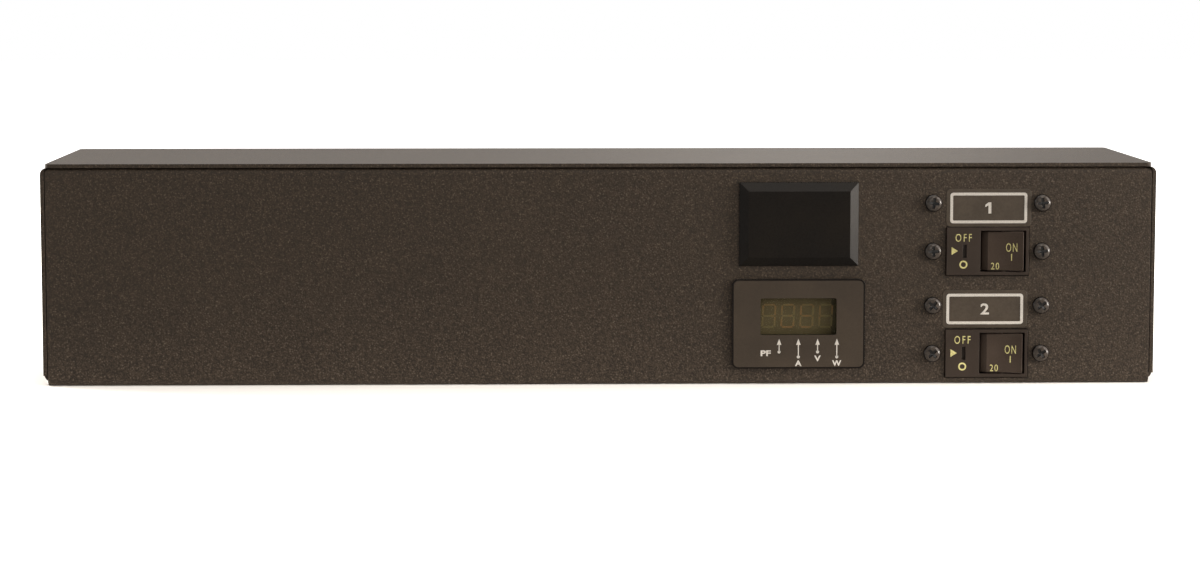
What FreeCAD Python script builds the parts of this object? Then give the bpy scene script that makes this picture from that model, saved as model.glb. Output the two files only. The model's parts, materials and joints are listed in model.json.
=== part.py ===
import FreeCAD
import Part

import math
import os

from FreeCAD import Vector

# Power distribution unit: a folded steel box two rack units high. Six twist-lock outlets, a cable
# gland and a plugged entry hole are on the outlet panel, which faces -Y. A power meter, a blank
# cover and two two-pole breakers with rockers are on the breaker panel, which faces +Y.
# Millimetres, +Z up, origin at the centre of the base's underside.

# Folded box
width = 438.15            # over both side walls
depth = 101.6             # outlet panel to breaker panel, outer faces
height = 87.4             # base underside to lid top
sheet = 1.5
inner_bend = 1.1          # inside radius of every fold
flange = 13.0
cover_inset = 1.8         # how far lid, base and breaker panel stop short of each side
seam = 0.3                # gap between folded edges that face each other
corner_round = 2.0        # rounded corners of lid and breaker panel
relief_inset = 14.0       # bend reliefs, from each side of the box
relief_width = 2.8

# Flush screws of the base
base_screw_inset = 8.0    # from each side of the box
base_screw_span = 52.0    # between the two screws of one side
base_thread_radius = 1.5
base_head_radius = 2.7
base_screw_length = 7.0
fit_gap = 0.05            # round a screw in its hole

# Threaded holes in the side walls for rack brackets
bracket_thread_radius = 1.65
bracket_collar_radius = 3.0
bracket_collar_length = 1.5
bracket_span_y = 63.5
bracket_span_z = 44.45

# Outlets
outlet_count = 6
strap_gland_gap = 3.87    # first outlet's strap to the gland's lock nut
strap_wall_gap = 6.25     # last outlet's strap to the far side wall
strap_flange_gap = 2.15   # straps to the wrap's flanges, at the top and at the bottom
outlet_radius = 20.0
outlet_stand = 2.0        # how far a face stands out of the panel
outlet_edge = 0.8         # rounding of a face's rim
outlet_hole_gap = 0.6     # round a face in its panel hole
outlet_hub_radius = 17.0
outlet_hub_length = 6.0
outlet_body_radius = 21.0
outlet_body_depth = 30.0
outlet_body_chamfer = 2.0
outlet_screw_offset = 30.7
slot_radius = 11.05       # middle of the curved blade slots
slot_width = 2.9
short_slot_angles = (107.0, 151.0)
long_slot_angles = (222.0, 281.0)
hook_slot_angles = (-15.0, 38.0)
hook_foot_reach = 3.6     # how far the hooked slot's foot goes in from the slot's middle
hook_foot_angle = 15.0
pocket_depth = 16.0       # room for the blades in the body, behind the hub
contact_thickness = 0.8
contact_gap = 0.2         # contact to pocket wall and to blade path
tab_width = 6.3           # quick-connect tabs of contacts and breakers
tab_thickness = 0.8
tab_length = 8.0
strap_thickness = 1.2
strap_width = 15.0
strap_ring_radius = 22.5
strap_reach = 36.0

# Pan-head screws of outlets and breakers
panel_thread_radius = 1.75
panel_hole_radius = 2.1
outlet_head_radius = 3.15
outlet_head_height = 2.0
breaker_head_radius = 3.4
breaker_head_height = 2.3
head_rim_share = 0.45     # straight part of a pan head's height

# Cable entry holes, gland and plug
entry_inset = 23.9
entry_row_gap = 36.2
entry_hole_radius = 14.3
plug_radius = 16.0
plug_stand = 1.2
plug_skirt = 6.0
plug_wall = 1.4
gland_flats = 33.0        # across the flats of the gland's hexagon
gland_hex_height = 6.0
hex_chamfer_angle = 30.0  # of the gland's and the lock nut's corners
gland_barrel_length = 12.0
gland_bore_radius = 10.5
gland_neck_radius = 13.0
gland_neck_length = 14.0
dome_radius = 16.0
dome_length = 20.0
dome_round = 5.0
dome_mouth_radius = 11.2
locknut_flats = 34.0
locknut_height = 5.0

# Supply cable, cut off outside the gland
cable_radius = 7.7
cable_reach = 58.0        # cut end, from the outlet panel
cable_inside = 16.0       # jacket end, from the outlet panel's inner face
jacket_bore_radius = 6.2
conductor_radius = 2.7
core_radius = 1.65
conductor_bend = 9.0

# Power meter and blank cover
meter_inset = 141.0
meter_row_gap = 39.4
meter_plate = (52.5, 35.5)
meter_plate_thickness = 1.4
meter_plate_round = 2.5
meter_window = (30.0, 14.5)
meter_window_raise = 2.9
meter_window_round = 0.8
meter_tub = (44.0, 28.0)
meter_tub_wall = 1.5
meter_tub_depth = 8.7
meter_pane_margin = 1.0
meter_pane_thickness = 1.2
meter_display_gap = 0.3
meter_board_thickness = 1.6
meter_case_depth = 15.0
blank_plate = (47.0, 33.0)
blank_bevel = 3.5
blank_stand = 3.0
blank_edge = 0.6
blank_tub = (40.0, 26.0)
blank_tub_depth = 6.0
blank_wall = 1.6
cutout_gap = 0.3          # panel cut-outs round meter, blank cover and collars

# Breakers
breaker_inset = 66.4
breaker_gap = 2.4         # between the two breakers
stack_base_gap = 2.5      # the pair, from the base's underside
stack_lid_gap = 6.3       # the pair, from the lid's top
pole_gap = 0.1            # between the two poles of a breaker
case_end = 3.9            # case past its screws' axes, at each end
case_depth = 45.0
case_chamfer = 4.0
collar_length = 32.5
collar_side = 0.15        # how much narrower a collar is than the pole pitch
collar_stand = 1.0
breaker_screw_span = 43.0
breaker_screw_depth = 9.0
indicator_slot = (1.4, 5.2)
indicator_depth = 1.5
indicator_offset = 9.1    # from the collar's middle, away from the rocker
rocker_length = 16.6
rocker_margin = 1.65      # collar past the rocker, above and below
rocker_offset = 6.1       # rocker's pivot, from the collar's middle
rocker_hollow = 0.5       # depth of the finger hollow
rocker_rise = 2.0         # face's ends over the pivot
rocker_depth = 3.0
rocker_end_lean = 0.9
rocker_bevel = (2.6, 1.0) # of the face at its OFF end, along and down
rocker_lug = (3.6, 3.5)
rocker_tilt = 9.0         # each way from level; built at OFF
rocker_end_gap = 0.65
rocker_side_gap = 0.35
rocker_well_depth = 10.0
trunnion_radius = 1.2
trunnion_length = 1.0
trunnion_gap = 0.3
line_tab_offsets = (19.5, 12.5)
breaker_tab_length = 12.0
line_bar_width = 5.0
line_bar_thickness = 1.5
line_bar_overlap = 3.0

# Earth stud and leads
stud_radius = 2.5
stud_length = 14.0
stud_nut_flats = 8.0
stud_nut_height = 4.0
stud_nut_gap = 1.0
lead_radius = 1.8
lead_gap = 0.2

# Places that follow from the sizes above
half_width = width / 2
mid_height = height / 2
rear_y = -depth / 2
front_y = depth / 2
shell_bottom = sheet
shell_top = height - sheet
outer_bend = sheet + inner_bend
cover_half = half_width - cover_inset
rear_inner_y = rear_y + sheet
front_inner_y = front_y - sheet
strap_back_y = rear_inner_y + strap_thickness
body_back_y = strap_back_y + outlet_body_depth
tab_tip_y = body_back_y + tab_length
hub_back_y = rear_inner_y + outlet_hub_length
entry_x = -half_width + entry_inset
first_outlet_x = entry_x + locknut_flats / math.sqrt(3) + strap_gland_gap + strap_reach
last_outlet_x = half_width - sheet - strap_wall_gap - strap_reach
outlet_pitch = (last_outlet_x - first_outlet_x) / (outlet_count - 1)
outlet_row_gap = height - 2 * (2 * sheet + strap_flange_gap + strap_ring_radius)
gland_z = mid_height - entry_row_gap / 2
plug_z = mid_height + entry_row_gap / 2
meter_x = -half_width + meter_inset
meter_z = mid_height - meter_row_gap / 2
blank_z = mid_height + meter_row_gap / 2
breaker_x = -half_width + breaker_inset
collar_face_y = front_y + collar_stand
case_back_y = front_inner_y - case_depth
pivot_y = collar_face_y - rocker_rise
rocker_x = breaker_x - rocker_offset
breaker_tab_tip_y = case_back_y - breaker_tab_length
lead_y = case_back_y - 2 * lead_radius
pole_pitch = (height - stack_base_gap - stack_lid_gap - breaker_gap) / 4
pole_width = pole_pitch - pole_gap
case_length = breaker_screw_span + 2 * case_end
collar = (collar_length, pole_pitch - collar_side)
rocker_height = collar[1] - 2 * rocker_margin
rocker_pole_z = {
    1: stack_base_gap + 2 * pole_pitch + breaker_gap + pole_pitch / 2,
    2: stack_base_gap + pole_pitch / 2,
}
slot_spans = {"short": short_slot_angles, "long": long_slot_angles, "hook": hook_slot_angles}
# Conductor centres round the cable's axis, as seen on the cut end
conductor_ring = 2 * conductor_radius / math.sqrt(3) + fit_gap
conductor_angles = {"green": 110.0, "white": -10.0, "black": 230.0}
ROWS_LOW_FIRST = (0, 1)
SIDES = (-1, 1)


def outlet_centre(index):
    """X and Z of an outlet: a steady pitch along the panel, lower and upper row in turn."""
    row = ROWS_LOW_FIRST[index % 2]
    return first_outlet_x + outlet_pitch * index, mid_height + outlet_row_gap * (row - 0.5)


def outlet_turn(index):
    """The upper row is mounted upside down."""
    return 180.0 * ROWS_LOW_FIRST[index % 2]


def block(x, y, z):
    """A box between the two limits given on each axis."""
    low = Vector(min(x), min(y), min(z))
    return Part.makeBox(max(x) - min(x), max(y) - min(y), max(z) - min(z), low)


def around(middle, size):
    """The two limits of a size about its middle."""
    return middle - size / 2, middle + size / 2


def rod(radius, start, end):
    """A round bar from one point to another."""
    run = Vector(*end) - Vector(*start)
    return Part.makeCylinder(radius, run.Length, Vector(*start), run)


def joined(first, *others):
    """One solid from pieces that meet, with no seams left between them."""
    return first.fuse(list(others)).removeSplitter()


def group(solids):
    """Separate solids that share one node."""
    return Part.makeCompound(solids)


def folded_sheet(outline, lift, run):
    """A bent sheet. outline is the outer line of its section, turning left at each square fold with the
    material on its left; lift puts a section point (u, v) in space and run carries the section along."""
    ways = []
    for a, b in zip(outline, outline[1:]):
        span = math.dist(a, b)
        ways.append(((b[0] - a[0]) / span, (b[1] - a[1]) / span))

    def moved(point, way, along, inward):
        u = point[0] + way[0] * along - way[1] * inward
        v = point[1] + way[1] * along + way[0] * inward
        return u, v

    def skin(inward):
        """One face of the sheet as line and arc edges, and its two end points."""
        edges = []
        at = moved(outline[0], ways[0], 0, inward)
        start = at
        for corner, way_in, way_out in zip(outline[1:], ways, ways[1:]):
            first = moved(corner, way_in, -outer_bend, inward)
            last = moved(corner, way_out, outer_bend, inward)
            centre = moved(corner, way_in, -outer_bend, outer_bend)
            share = (outer_bend - inward) / math.dist(centre, corner)
            middle = tuple(c + (p - c) * share for c, p in zip(centre, corner))
            edges.append(Part.LineSegment(lift(*at), lift(*first)).toShape())
            edges.append(Part.Arc(lift(*first), lift(*middle), lift(*last)).toShape())
            at = last
        end = moved(outline[-1], ways[-1], 0, inward)
        edges.append(Part.LineSegment(lift(*at), lift(*end)).toShape())
        return edges, start, end

    outer, outer_start, outer_end = skin(0)
    inner, inner_start, inner_end = skin(sheet)
    caps = [
        Part.LineSegment(lift(*outer_start), lift(*inner_start)).toShape(),
        Part.LineSegment(lift(*outer_end), lift(*inner_end)).toShape(),
    ]
    wire = Part.Wire(Part.__sortEdges__(outer + inner + caps))
    return Part.Face(wire).extrude(run)


def rounded_plate(centre_x, centre_z, size, radius, y):
    """A plate with rounded corners across Y: size is its width and height, y its two faces."""
    plate = block(around(centre_x, size[0]), y, around(centre_z, size[1]))
    upright = [e for e in plate.Edges if e.BoundBox.YLength > abs(y[1] - y[0]) / 2]
    return plate.makeFillet(radius, upright)


def ring_sector(centre, radii, angles, y):
    """A piece of a ring about an axis along Y, between two radii and two angles seen from -Y."""
    def at(radius, angle):
        turn = math.radians(angle)
        return Vector(centre[0] + radius * math.cos(turn), y[0], centre[1] + radius * math.sin(turn))

    middle = sum(angles) / 2
    edges = []
    for radius in radii:
        arc = Part.Arc(at(radius, angles[0]), at(radius, middle), at(radius, angles[1]))
        edges.append(arc.toShape())
    for angle in angles:
        edges.append(Part.LineSegment(at(radii[0], angle), at(radii[1], angle)).toShape())
    face = Part.Face(Part.Wire(Part.__sortEdges__(edges)))
    return face.extrude(Vector(0, y[1] - y[0], 0))


def hexagon(flats, centre, y, first_corner=90.0):
    """A hexagonal prism along Y by its width across flats, with a corner at the top or at another angle.
    Its corners are turned off to the flats at the end that comes first in y."""
    radius = flats / math.sqrt(3)
    points = []
    for step in range(7):
        turn = math.radians(first_corner + 60 * step)
        x = centre[0] + radius * math.cos(turn)
        points.append(Vector(x, y[0], centre[1] + radius * math.sin(turn)))
    prism = Part.Face(Part.makePolygon(points)).extrude(Vector(0, y[1] - y[0], 0))
    slope = (radius - flats / 2) * math.tan(math.radians(hex_chamfer_angle))
    shoulder_y = y[0] + math.copysign(slope, y[1] - y[0])
    blank = turned([(0, y[0]), (flats / 2, y[0]), (radius, shoulder_y), (radius, y[1]), (0, y[1])], centre)
    return prism.common(blank)


def turned(profile, centre):
    """A solid of revolution about the axis along Y through centre (x, z). profile lists (radius, y) corners;
    a corner with a third entry, True, is the middle of an arc between its neighbours."""
    points = [Vector(centre[0] + p[0], p[1], centre[1]) for p in profile]
    edges = []
    at = 0
    while at < len(points) - 1:
        if len(profile[at + 1]) == 3:
            edges.append(Part.Arc(points[at], points[at + 1], points[at + 2]).toShape())
            at += 2
        else:
            edges.append(Part.LineSegment(points[at], points[at + 1]).toShape())
            at += 1
    edges.append(Part.LineSegment(points[-1], points[0]).toShape())
    face = Part.Face(Part.Wire(edges))
    return face.revolve(Vector(centre[0], 0, centre[1]), Vector(0, 1, 0), 360)


def pan_screw(x, z, seat_y, way, head, length):
    """A pan-head screw on a panel. way is +1 or -1, the side of Y its head is on; head is radius, height."""
    radius, tall = head
    rim = tall * head_rim_share
    cap = tall - rim
    ball = (radius ** 2 + cap ** 2) / (2 * cap)
    dome_y = seat_y + way * (tall - ball + math.sqrt(ball ** 2 - radius ** 2 / 4))
    profile = [
        (0, seat_y - way * length),
        (panel_thread_radius, seat_y - way * length),
        (panel_thread_radius, seat_y),
        (radius, seat_y),
        (radius, seat_y + way * rim),
        (radius / 2, dome_y, True),
        (0, seat_y + way * tall),
    ]
    return turned(profile, (x, z))


def bent_rod(radius, start, corner, end, bend):
    """A round bar of two straight runs joined by one arc that touches both."""
    a, b, c = Vector(*start), Vector(*corner), Vector(*end)
    way_in = (b - a).normalize()
    way_out = (c - b).normalize()
    half_turn = way_in.getAngle(way_out) / 2
    first = b - way_in * (bend * math.tan(half_turn))
    last = b + way_out * (bend * math.tan(half_turn))
    inward = (way_out - way_in).normalize()
    centre = b + inward * (bend / math.cos(half_turn))
    middle = centre - inward * bend
    path = Part.Wire([
        Part.LineSegment(a, first).toShape(),
        Part.Arc(first, middle, last).toShape(),
        Part.LineSegment(last, c).toShape(),
    ])
    section = Part.Wire(Part.makeCircle(radius, a, way_in))
    return path.makePipeShell([section], True, False)


# Flush screws of the base

def base_screw_places():
    """X and Y of the four screws that hold the base to the side walls' flanges."""
    screw_x = half_width - base_screw_inset
    return [(side * screw_x, y) for side in SIDES for y in around(0, base_screw_span)]


def flush_screw(x, y, extra):
    """A countersunk screw, or with extra room all round the hole that it needs."""
    head_height = base_head_radius - base_thread_radius
    cone = Part.makeCone(base_head_radius + extra, base_thread_radius + extra, head_height, Vector(x, y, 0))
    shank = Part.makeCylinder(base_thread_radius + extra, base_screw_length, Vector(x, y, 0))
    return joined(cone, shank)


def cut_base_screw_holes(shape):
    return shape.cut(group([flush_screw(x, y, fit_gap) for x, y in base_screw_places()]))


# Chassis wrap: outlet panel and side walls

def bracket_places():
    """Y and Z of the four threaded holes of a side wall."""
    return [(y, z) for y in around(0, bracket_span_y) for z in around(mid_height, bracket_span_z)]


def make_chassis_wrap():
    flange_start = rear_y + relief_inset
    side_line = [
        (-half_width + flange, shell_top),
        (-half_width, shell_top),
        (-half_width, shell_bottom),
        (-half_width + flange, shell_bottom),
    ]
    rear_line = [
        (rear_y + flange, shell_top),
        (rear_y, shell_top),
        (rear_y, shell_bottom),
        (rear_y + flange, shell_bottom),
    ]
    corner_line = [
        (-half_width, flange_start),
        (-half_width, rear_y),
        (-half_width + relief_inset, rear_y),
    ]
    side = folded_sheet(side_line, lambda u, v: Vector(u, flange_start, v),
                        Vector(0, front_y - flange_start, 0))
    corner = folded_sheet(corner_line, lambda u, v: Vector(u, v, shell_bottom),
                          Vector(0, 0, shell_top - shell_bottom))
    # The corner has no flanges, and its two ends are rounded off as far as the folds beside them
    corner = corner.common(rounded_plate(0, mid_height, (width, shell_top - shell_bottom), outer_bend,
                                         (rear_y, flange_start)))
    rear = folded_sheet(rear_line, lambda u, v: Vector(-half_width + relief_inset, u, v),
                        Vector(width - 2 * relief_inset, 0, 0))
    # The flanges make room for the breaker panel's folds, at the bottom and at the top, and for its face
    flange_x = (-half_width + outer_bend, -half_width + flange)
    front_clear = [
        block((-half_width, -half_width + flange), (front_y - outer_bend - seam, front_y),
              (shell_bottom, shell_bottom + outer_bend)),
        block(flange_x, (front_y - flange - seam, front_y), (shell_top - outer_bend, shell_top)),
        panel_outline(seam, (front_inner_y - seam, front_y)),
    ]
    half = side.cut(group(front_clear)).fuse(corner)
    mirrored = half.mirror(Vector(0, 0, 0), Vector(1, 0, 0))
    wrap = joined(rear, half, mirrored)
    wrap = wrap.cut(group(make_bend_reliefs()))
    collars = []
    threads = []
    for side in SIDES:
        wall_x = side * half_width
        collar_x = side * (half_width - sheet - bracket_collar_length)
        for y, z in bracket_places():
            collars.append(rod(bracket_collar_radius, (side * (half_width - sheet), y, z), (collar_x, y, z)))
            threads.append(rod(bracket_thread_radius, (wall_x, y, z), (collar_x, y, z)))
    wrap = joined(wrap, *collars).cut(group(threads))
    holes = []
    for index in range(outlet_count):
        x, z = outlet_centre(index)
        holes.append(rod(outlet_radius + outlet_hole_gap, (x, rear_y, z), (x, rear_inner_y, z)))
        for side in SIDES:
            screw_x = x + side * outlet_screw_offset
            holes.append(rod(panel_hole_radius, (screw_x, rear_y, z), (screw_x, rear_inner_y, z)))
    for z in (gland_z, plug_z):
        holes.append(rod(entry_hole_radius, (entry_x, rear_y, z), (entry_x, rear_inner_y, z)))
    return cut_base_screw_holes(wrap.cut(group(holes)))


def make_bend_reliefs():
    """Short round-ended notches at both ends of each flange, where it meets the corner fold."""
    reach = outer_bend + seam
    end_radius = relief_width / 2
    y = rear_y + relief_inset
    notches = []
    for side in SIDES:
        x = side * (half_width - relief_inset)
        wall_x = (side * half_width, side * (half_width - reach))
        for z in (shell_bottom, shell_top):
            end_z = z + math.copysign(reach, mid_height - z)
            notches.append(block(around(x, relief_width), (rear_y, rear_y + reach), (z, end_z)))
            notches.append(rod(end_radius, (x, rear_y, end_z), (x, rear_y + reach, end_z)))
            notches.append(block(wall_x, around(y, relief_width), (z, end_z)))
            notches.append(rod(end_radius, (wall_x[0], y, end_z), (wall_x[1], y, end_z)))
    return notches


# Front and base panel

def panel_outline(grow, y):
    """The breaker panel's outline, grown by a margin, from below the base up to its rounded top corners."""
    low = -2 * corner_round
    high = shell_top + grow
    return rounded_plate(0, (low + high) / 2, (2 * (cover_half + grow), high - low), corner_round + grow, y)


def make_front_base_panel():
    line = [
        (rear_y, 0.0),
        (front_y, 0.0),
        (front_y, shell_top),
        (front_y - flange, shell_top),
    ]
    panel = folded_sheet(line, lambda u, v: Vector(-cover_half, u, v), Vector(2 * cover_half, 0, 0))
    # The top flange stops short of the side walls' folds, and the face covers them with rounded corners
    for side in SIDES:
        end_x = (side * (half_width - outer_bend - seam), side * half_width)
        behind_y = (front_y - flange, front_inner_y)
        panel = panel.cut(block(end_x, behind_y, (shell_top - outer_bend, shell_top)))
    panel = panel.common(panel_outline(0.0, (rear_y, front_y)))
    through = (front_inner_y, front_y)
    cuts = [
        block(around(meter_x, meter_tub[0] + 2 * cutout_gap), through,
              around(meter_z, meter_tub[1] + 2 * cutout_gap)),
        block(around(meter_x, blank_tub[0] + 2 * cutout_gap), through,
              around(blank_z, blank_tub[1] + 2 * cutout_gap)),
    ]
    for pole_z in rocker_pole_z.values():
        cuts.append(block(around(breaker_x, collar[0] + 2 * cutout_gap), through,
                          around(pole_z, collar[1] + 2 * cutout_gap)))
    for x, z in breaker_screw_places():
        cuts.append(rod(panel_hole_radius, (x, front_inner_y, z), (x, front_y, z)))
    return cut_base_screw_holes(panel.cut(group(cuts)))


def make_top_cover():
    lid = block(around(0, 2 * cover_half), (rear_y, front_y), (shell_top, height))
    upright = [e for e in lid.Edges if e.BoundBox.ZLength > sheet / 2]
    return lid.makeFillet(corner_round, upright)


# Outlets

def slot_pieces(index, grow, y, outward):
    """The three blade slots as solids, grown by a margin, with more room on their outer side if asked."""
    centre = outlet_centre(index)
    turn = outlet_turn(index)
    inner = slot_radius - slot_width / 2 - grow
    outer = slot_radius + slot_width / 2 + grow + outward
    lean = math.degrees(grow / slot_radius)
    pieces = {}
    for name, (low, high) in slot_spans.items():
        span = (low + turn - lean, high + turn + lean)
        pieces[name] = ring_sector(centre, (inner, outer), span, y)
    foot = (hook_slot_angles[0] + turn - lean, hook_slot_angles[0] + hook_foot_angle + turn + lean)
    foot_inner = slot_radius - hook_foot_reach - grow
    foot_piece = ring_sector(centre, (foot_inner, slot_radius), foot, y)
    pieces["hook"] = joined(pieces["hook"], foot_piece)
    return pieces


def make_outlet_face(index):
    centre = outlet_centre(index)
    rim_y = rear_y - outlet_stand
    part_way = outlet_edge * (1 - math.sqrt(0.5))
    profile = [
        (0, rim_y),
        (outlet_radius - outlet_edge, rim_y),
        (outlet_radius - part_way, rim_y + part_way, True),
        (outlet_radius, rim_y + outlet_edge),
        (outlet_radius, rear_inner_y),
        (outlet_hub_radius, rear_inner_y),
        (outlet_hub_radius, hub_back_y),
        (0, hub_back_y),
    ]
    face = turned(profile, centre)
    slots = slot_pieces(index, 0.0, (rim_y, hub_back_y), 0.0)
    return face.cut(group(list(slots.values())))


def make_outlet_strap(index):
    x, z = outlet_centre(index)
    y = (rear_inner_y, strap_back_y)
    ears = rounded_plate(x, z, (2 * strap_reach, strap_width), corner_round, y)
    ring = rod(strap_ring_radius, (x, y[0], z), (x, y[1], z))
    strap = joined(ears, ring)
    holes = [rod(outlet_hub_radius + cutout_gap, (x, y[0], z), (x, y[1], z))]
    for side in SIDES:
        screw_x = x + side * outlet_screw_offset
        holes.append(rod(panel_thread_radius + fit_gap, (screw_x, y[0], z), (screw_x, y[1], z)))
    return strap.cut(group(holes))


def contact_radii():
    inner = slot_radius + slot_width / 2 + contact_gap
    return inner, inner + contact_thickness


def tab_place(index, name):
    """X and Z of the middle of a contact's tab."""
    x, z = outlet_centre(index)
    turn = math.radians(sum(slot_spans[name]) / 2 + outlet_turn(index))
    radius = contact_radii()[0] + contact_thickness / 2
    return x + radius * math.cos(turn), z + radius * math.sin(turn)


def contact_tab(index, name, grow):
    """The flat tab of a contact, square to its radius, from the pocket's floor out of the body's back."""
    centre = outlet_centre(index)
    x, z = tab_place(index, name)
    y = (hub_back_y + pocket_depth, tab_tip_y)
    tab = block(around(centre[0], tab_thickness + 2 * grow), y, around(centre[1], tab_width + 2 * grow))
    angle = sum(slot_spans[name]) / 2 + outlet_turn(index)
    tab.rotate(Vector(centre[0], 0, centre[1]), Vector(0, -1, 0), angle)
    tab.translate(Vector(x - centre[0], 0, z - centre[1]))
    return tab


def make_outlet_body(index):
    x, z = outlet_centre(index)
    body = rod(outlet_body_radius, (x, strap_back_y, z), (x, body_back_y, z))
    back = [e for e in body.Edges if abs(e.BoundBox.YMin - body_back_y) < fit_gap
            and e.BoundBox.YLength < fit_gap]
    body = body.makeChamfer(outlet_body_chamfer, back)
    room = contact_thickness + contact_gap
    pockets = slot_pieces(index, contact_gap, (strap_back_y, hub_back_y + pocket_depth), room)
    hub = rod(outlet_hub_radius + cutout_gap, (x, strap_back_y, z), (x, hub_back_y, z))
    cuts = [hub] + list(pockets.values())
    cuts += [contact_tab(index, name, fit_gap) for name in slot_spans]
    return body.cut(group(cuts))


def make_outlet_contacts(index):
    centre = outlet_centre(index)
    contacts = []
    for name, (low, high) in slot_spans.items():
        turn = outlet_turn(index)
        y = (hub_back_y + contact_gap, hub_back_y + pocket_depth)
        blade = ring_sector(centre, contact_radii(), (low + turn, high + turn), y)
        contacts.append(joined(blade, contact_tab(index, name, 0.0)))
    return group(contacts)


def make_outlet_screws():
    screws = []
    length = sheet + strap_thickness + 2 * panel_thread_radius
    head = (outlet_head_radius, outlet_head_height)
    for index in range(outlet_count):
        x, z = outlet_centre(index)
        for side in SIDES:
            screws.append(pan_screw(x + side * outlet_screw_offset, z, rear_y, -1, head, length))
    return group(screws)


# Cable entry

def make_entry_plug():
    skirt_radius = entry_hole_radius - fit_gap
    stand_y = rear_y - plug_stand
    snap_y = rear_inner_y + seam
    profile = [
        (0, stand_y),
        (plug_radius - plug_stand, stand_y),
        (plug_radius, rear_y),
        (skirt_radius, rear_y),
        (skirt_radius, snap_y),
        (entry_hole_radius + seam, snap_y + seam),
        (skirt_radius - plug_wall / 2, rear_y + plug_skirt),
        (skirt_radius - plug_wall, rear_y + plug_skirt),
        (skirt_radius - plug_wall, rear_y + plug_wall / 2),
        (0, rear_y + plug_wall / 2),
    ]
    return turned(profile, (entry_x, plug_z))


def make_gland_body():
    """Hexagon against the panel, threaded barrel through it, and the neck that the dome nut screws on."""
    centre = (entry_x, gland_z)
    hex_y = rear_y - gland_hex_height
    hexagon_part = hexagon(gland_flats, centre, (hex_y, rear_y))
    barrel = rod(entry_hole_radius - fit_gap, (entry_x, rear_y, gland_z),
                 (entry_x, rear_y + gland_barrel_length, gland_z))
    neck = rod(gland_neck_radius, (entry_x, hex_y - gland_neck_length, gland_z), (entry_x, hex_y, gland_z))
    bore = rod(gland_bore_radius, (entry_x, hex_y - gland_neck_length, gland_z),
               (entry_x, rear_y + gland_barrel_length, gland_z))
    return joined(hexagon_part, barrel, neck).cut(bore)


def make_gland_dome_nut():
    """Round dome nut: a bore that fits the neck, a rounded lip, and a mouth that flares out."""
    back_y = rear_y - gland_hex_height - seam
    tip_y = back_y - dome_length
    lip_y = rear_y - gland_hex_height - gland_neck_length - seam
    part_way = dome_round * (1 - math.sqrt(0.5))
    neck = gland_neck_radius + fit_gap
    throat = cable_radius + seam
    profile = [
        (neck, back_y),
        (dome_radius, back_y),
        (dome_radius, tip_y + dome_round),
        (dome_radius - part_way, tip_y + part_way, True),
        (dome_radius - dome_round, tip_y),
        (dome_mouth_radius - outlet_edge, tip_y),
        (throat, lip_y - contact_thickness),
        (throat, lip_y),
        (neck, lip_y),
    ]
    return turned(profile, (entry_x, gland_z))


def make_gland_seal():
    """Rubber sleeve squeezed between the gland's bore and the cable."""
    out_y = rear_y - gland_hex_height - gland_neck_length
    profile = [
        (cable_radius + fit_gap, out_y),
        (gland_bore_radius - fit_gap, out_y),
        (gland_bore_radius - fit_gap, rear_y),
        (cable_radius + fit_gap, rear_y),
    ]
    return turned(profile, (entry_x, gland_z))


def make_gland_locknut():
    y = (rear_inner_y + locknut_height, rear_inner_y)
    nut = hexagon(locknut_flats, (entry_x, gland_z), y, 0.0)
    return nut.cut(rod(entry_hole_radius, (entry_x, y[0], gland_z), (entry_x, y[1], gland_z)))


def make_cable_jacket():
    """Cut end outside, bare end inside, hollow round the three conductors."""
    cut_y = rear_y - cable_reach
    end_y = rear_inner_y + cable_inside
    jacket = rod(cable_radius, (entry_x, cut_y, gland_z), (entry_x, end_y, gland_z))
    return jacket.cut(rod(jacket_bore_radius, (entry_x, cut_y, gland_z), (entry_x, end_y, gland_z)))


def conductor_start(colour):
    turn = math.radians(conductor_angles[colour])
    x = entry_x + conductor_ring * math.cos(turn)
    return x, rear_y - cable_reach, gland_z + conductor_ring * math.sin(turn)


def line_bar_x(pole):
    return breaker_x - line_tab_offsets[pole]


def conductor_route(colour):
    """Straight through the jacket, one bend, and on to a line bar or the earth stud."""
    x, y, z = conductor_start(colour)
    start = (x, y, z)
    if colour == "black":
        bar_y = breaker_tab_tip_y - line_bar_thickness / 2
        return start, (x, bar_y, z), (line_bar_x(0) - line_bar_width / 2 - lead_gap, bar_y, z)
    if colour == "white":
        pass_y = breaker_tab_tip_y - line_bar_thickness - conductor_radius - lead_gap
        return start, (x, pass_y, z), (line_bar_x(1) + line_bar_width / 2, pass_y, mid_height)
    stud_x, stud_y, stud_z = earth_stud_place()
    end = (stud_x + stud_length - conductor_radius, stud_y, stud_z - stud_radius - conductor_radius)
    return start, (x, stud_y, z), end


def make_conductor(colour):
    route = conductor_route(colour)
    sheath = bent_rod(conductor_radius, *route, conductor_bend)
    return sheath.cut(make_core(colour))


def make_core(colour):
    return bent_rod(core_radius, *conductor_route(colour), conductor_bend)


# Power meter and blank cover

def window_centre():
    return meter_x, meter_z + meter_window_raise


def make_meter_bezel():
    """Front plate with its window, and the tub behind it that goes through the panel."""
    x, z = window_centre()
    plate_y = (front_y, front_y + meter_plate_thickness)
    plate = rounded_plate(meter_x, meter_z, meter_plate, meter_plate_round, plate_y)
    tub_y = (front_y - meter_tub_depth, front_y)
    tub = block(around(meter_x, meter_tub[0]), tub_y, around(meter_z, meter_tub[1]))
    inside = block(around(meter_x, meter_tub[0] - 2 * meter_tub_wall), tub_y,
                   around(meter_z, meter_tub[1] - 2 * meter_tub_wall))
    window = rounded_plate(x, z, meter_window, meter_window_round, plate_y)
    return joined(plate, tub.cut(inside)).cut(window)


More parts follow.
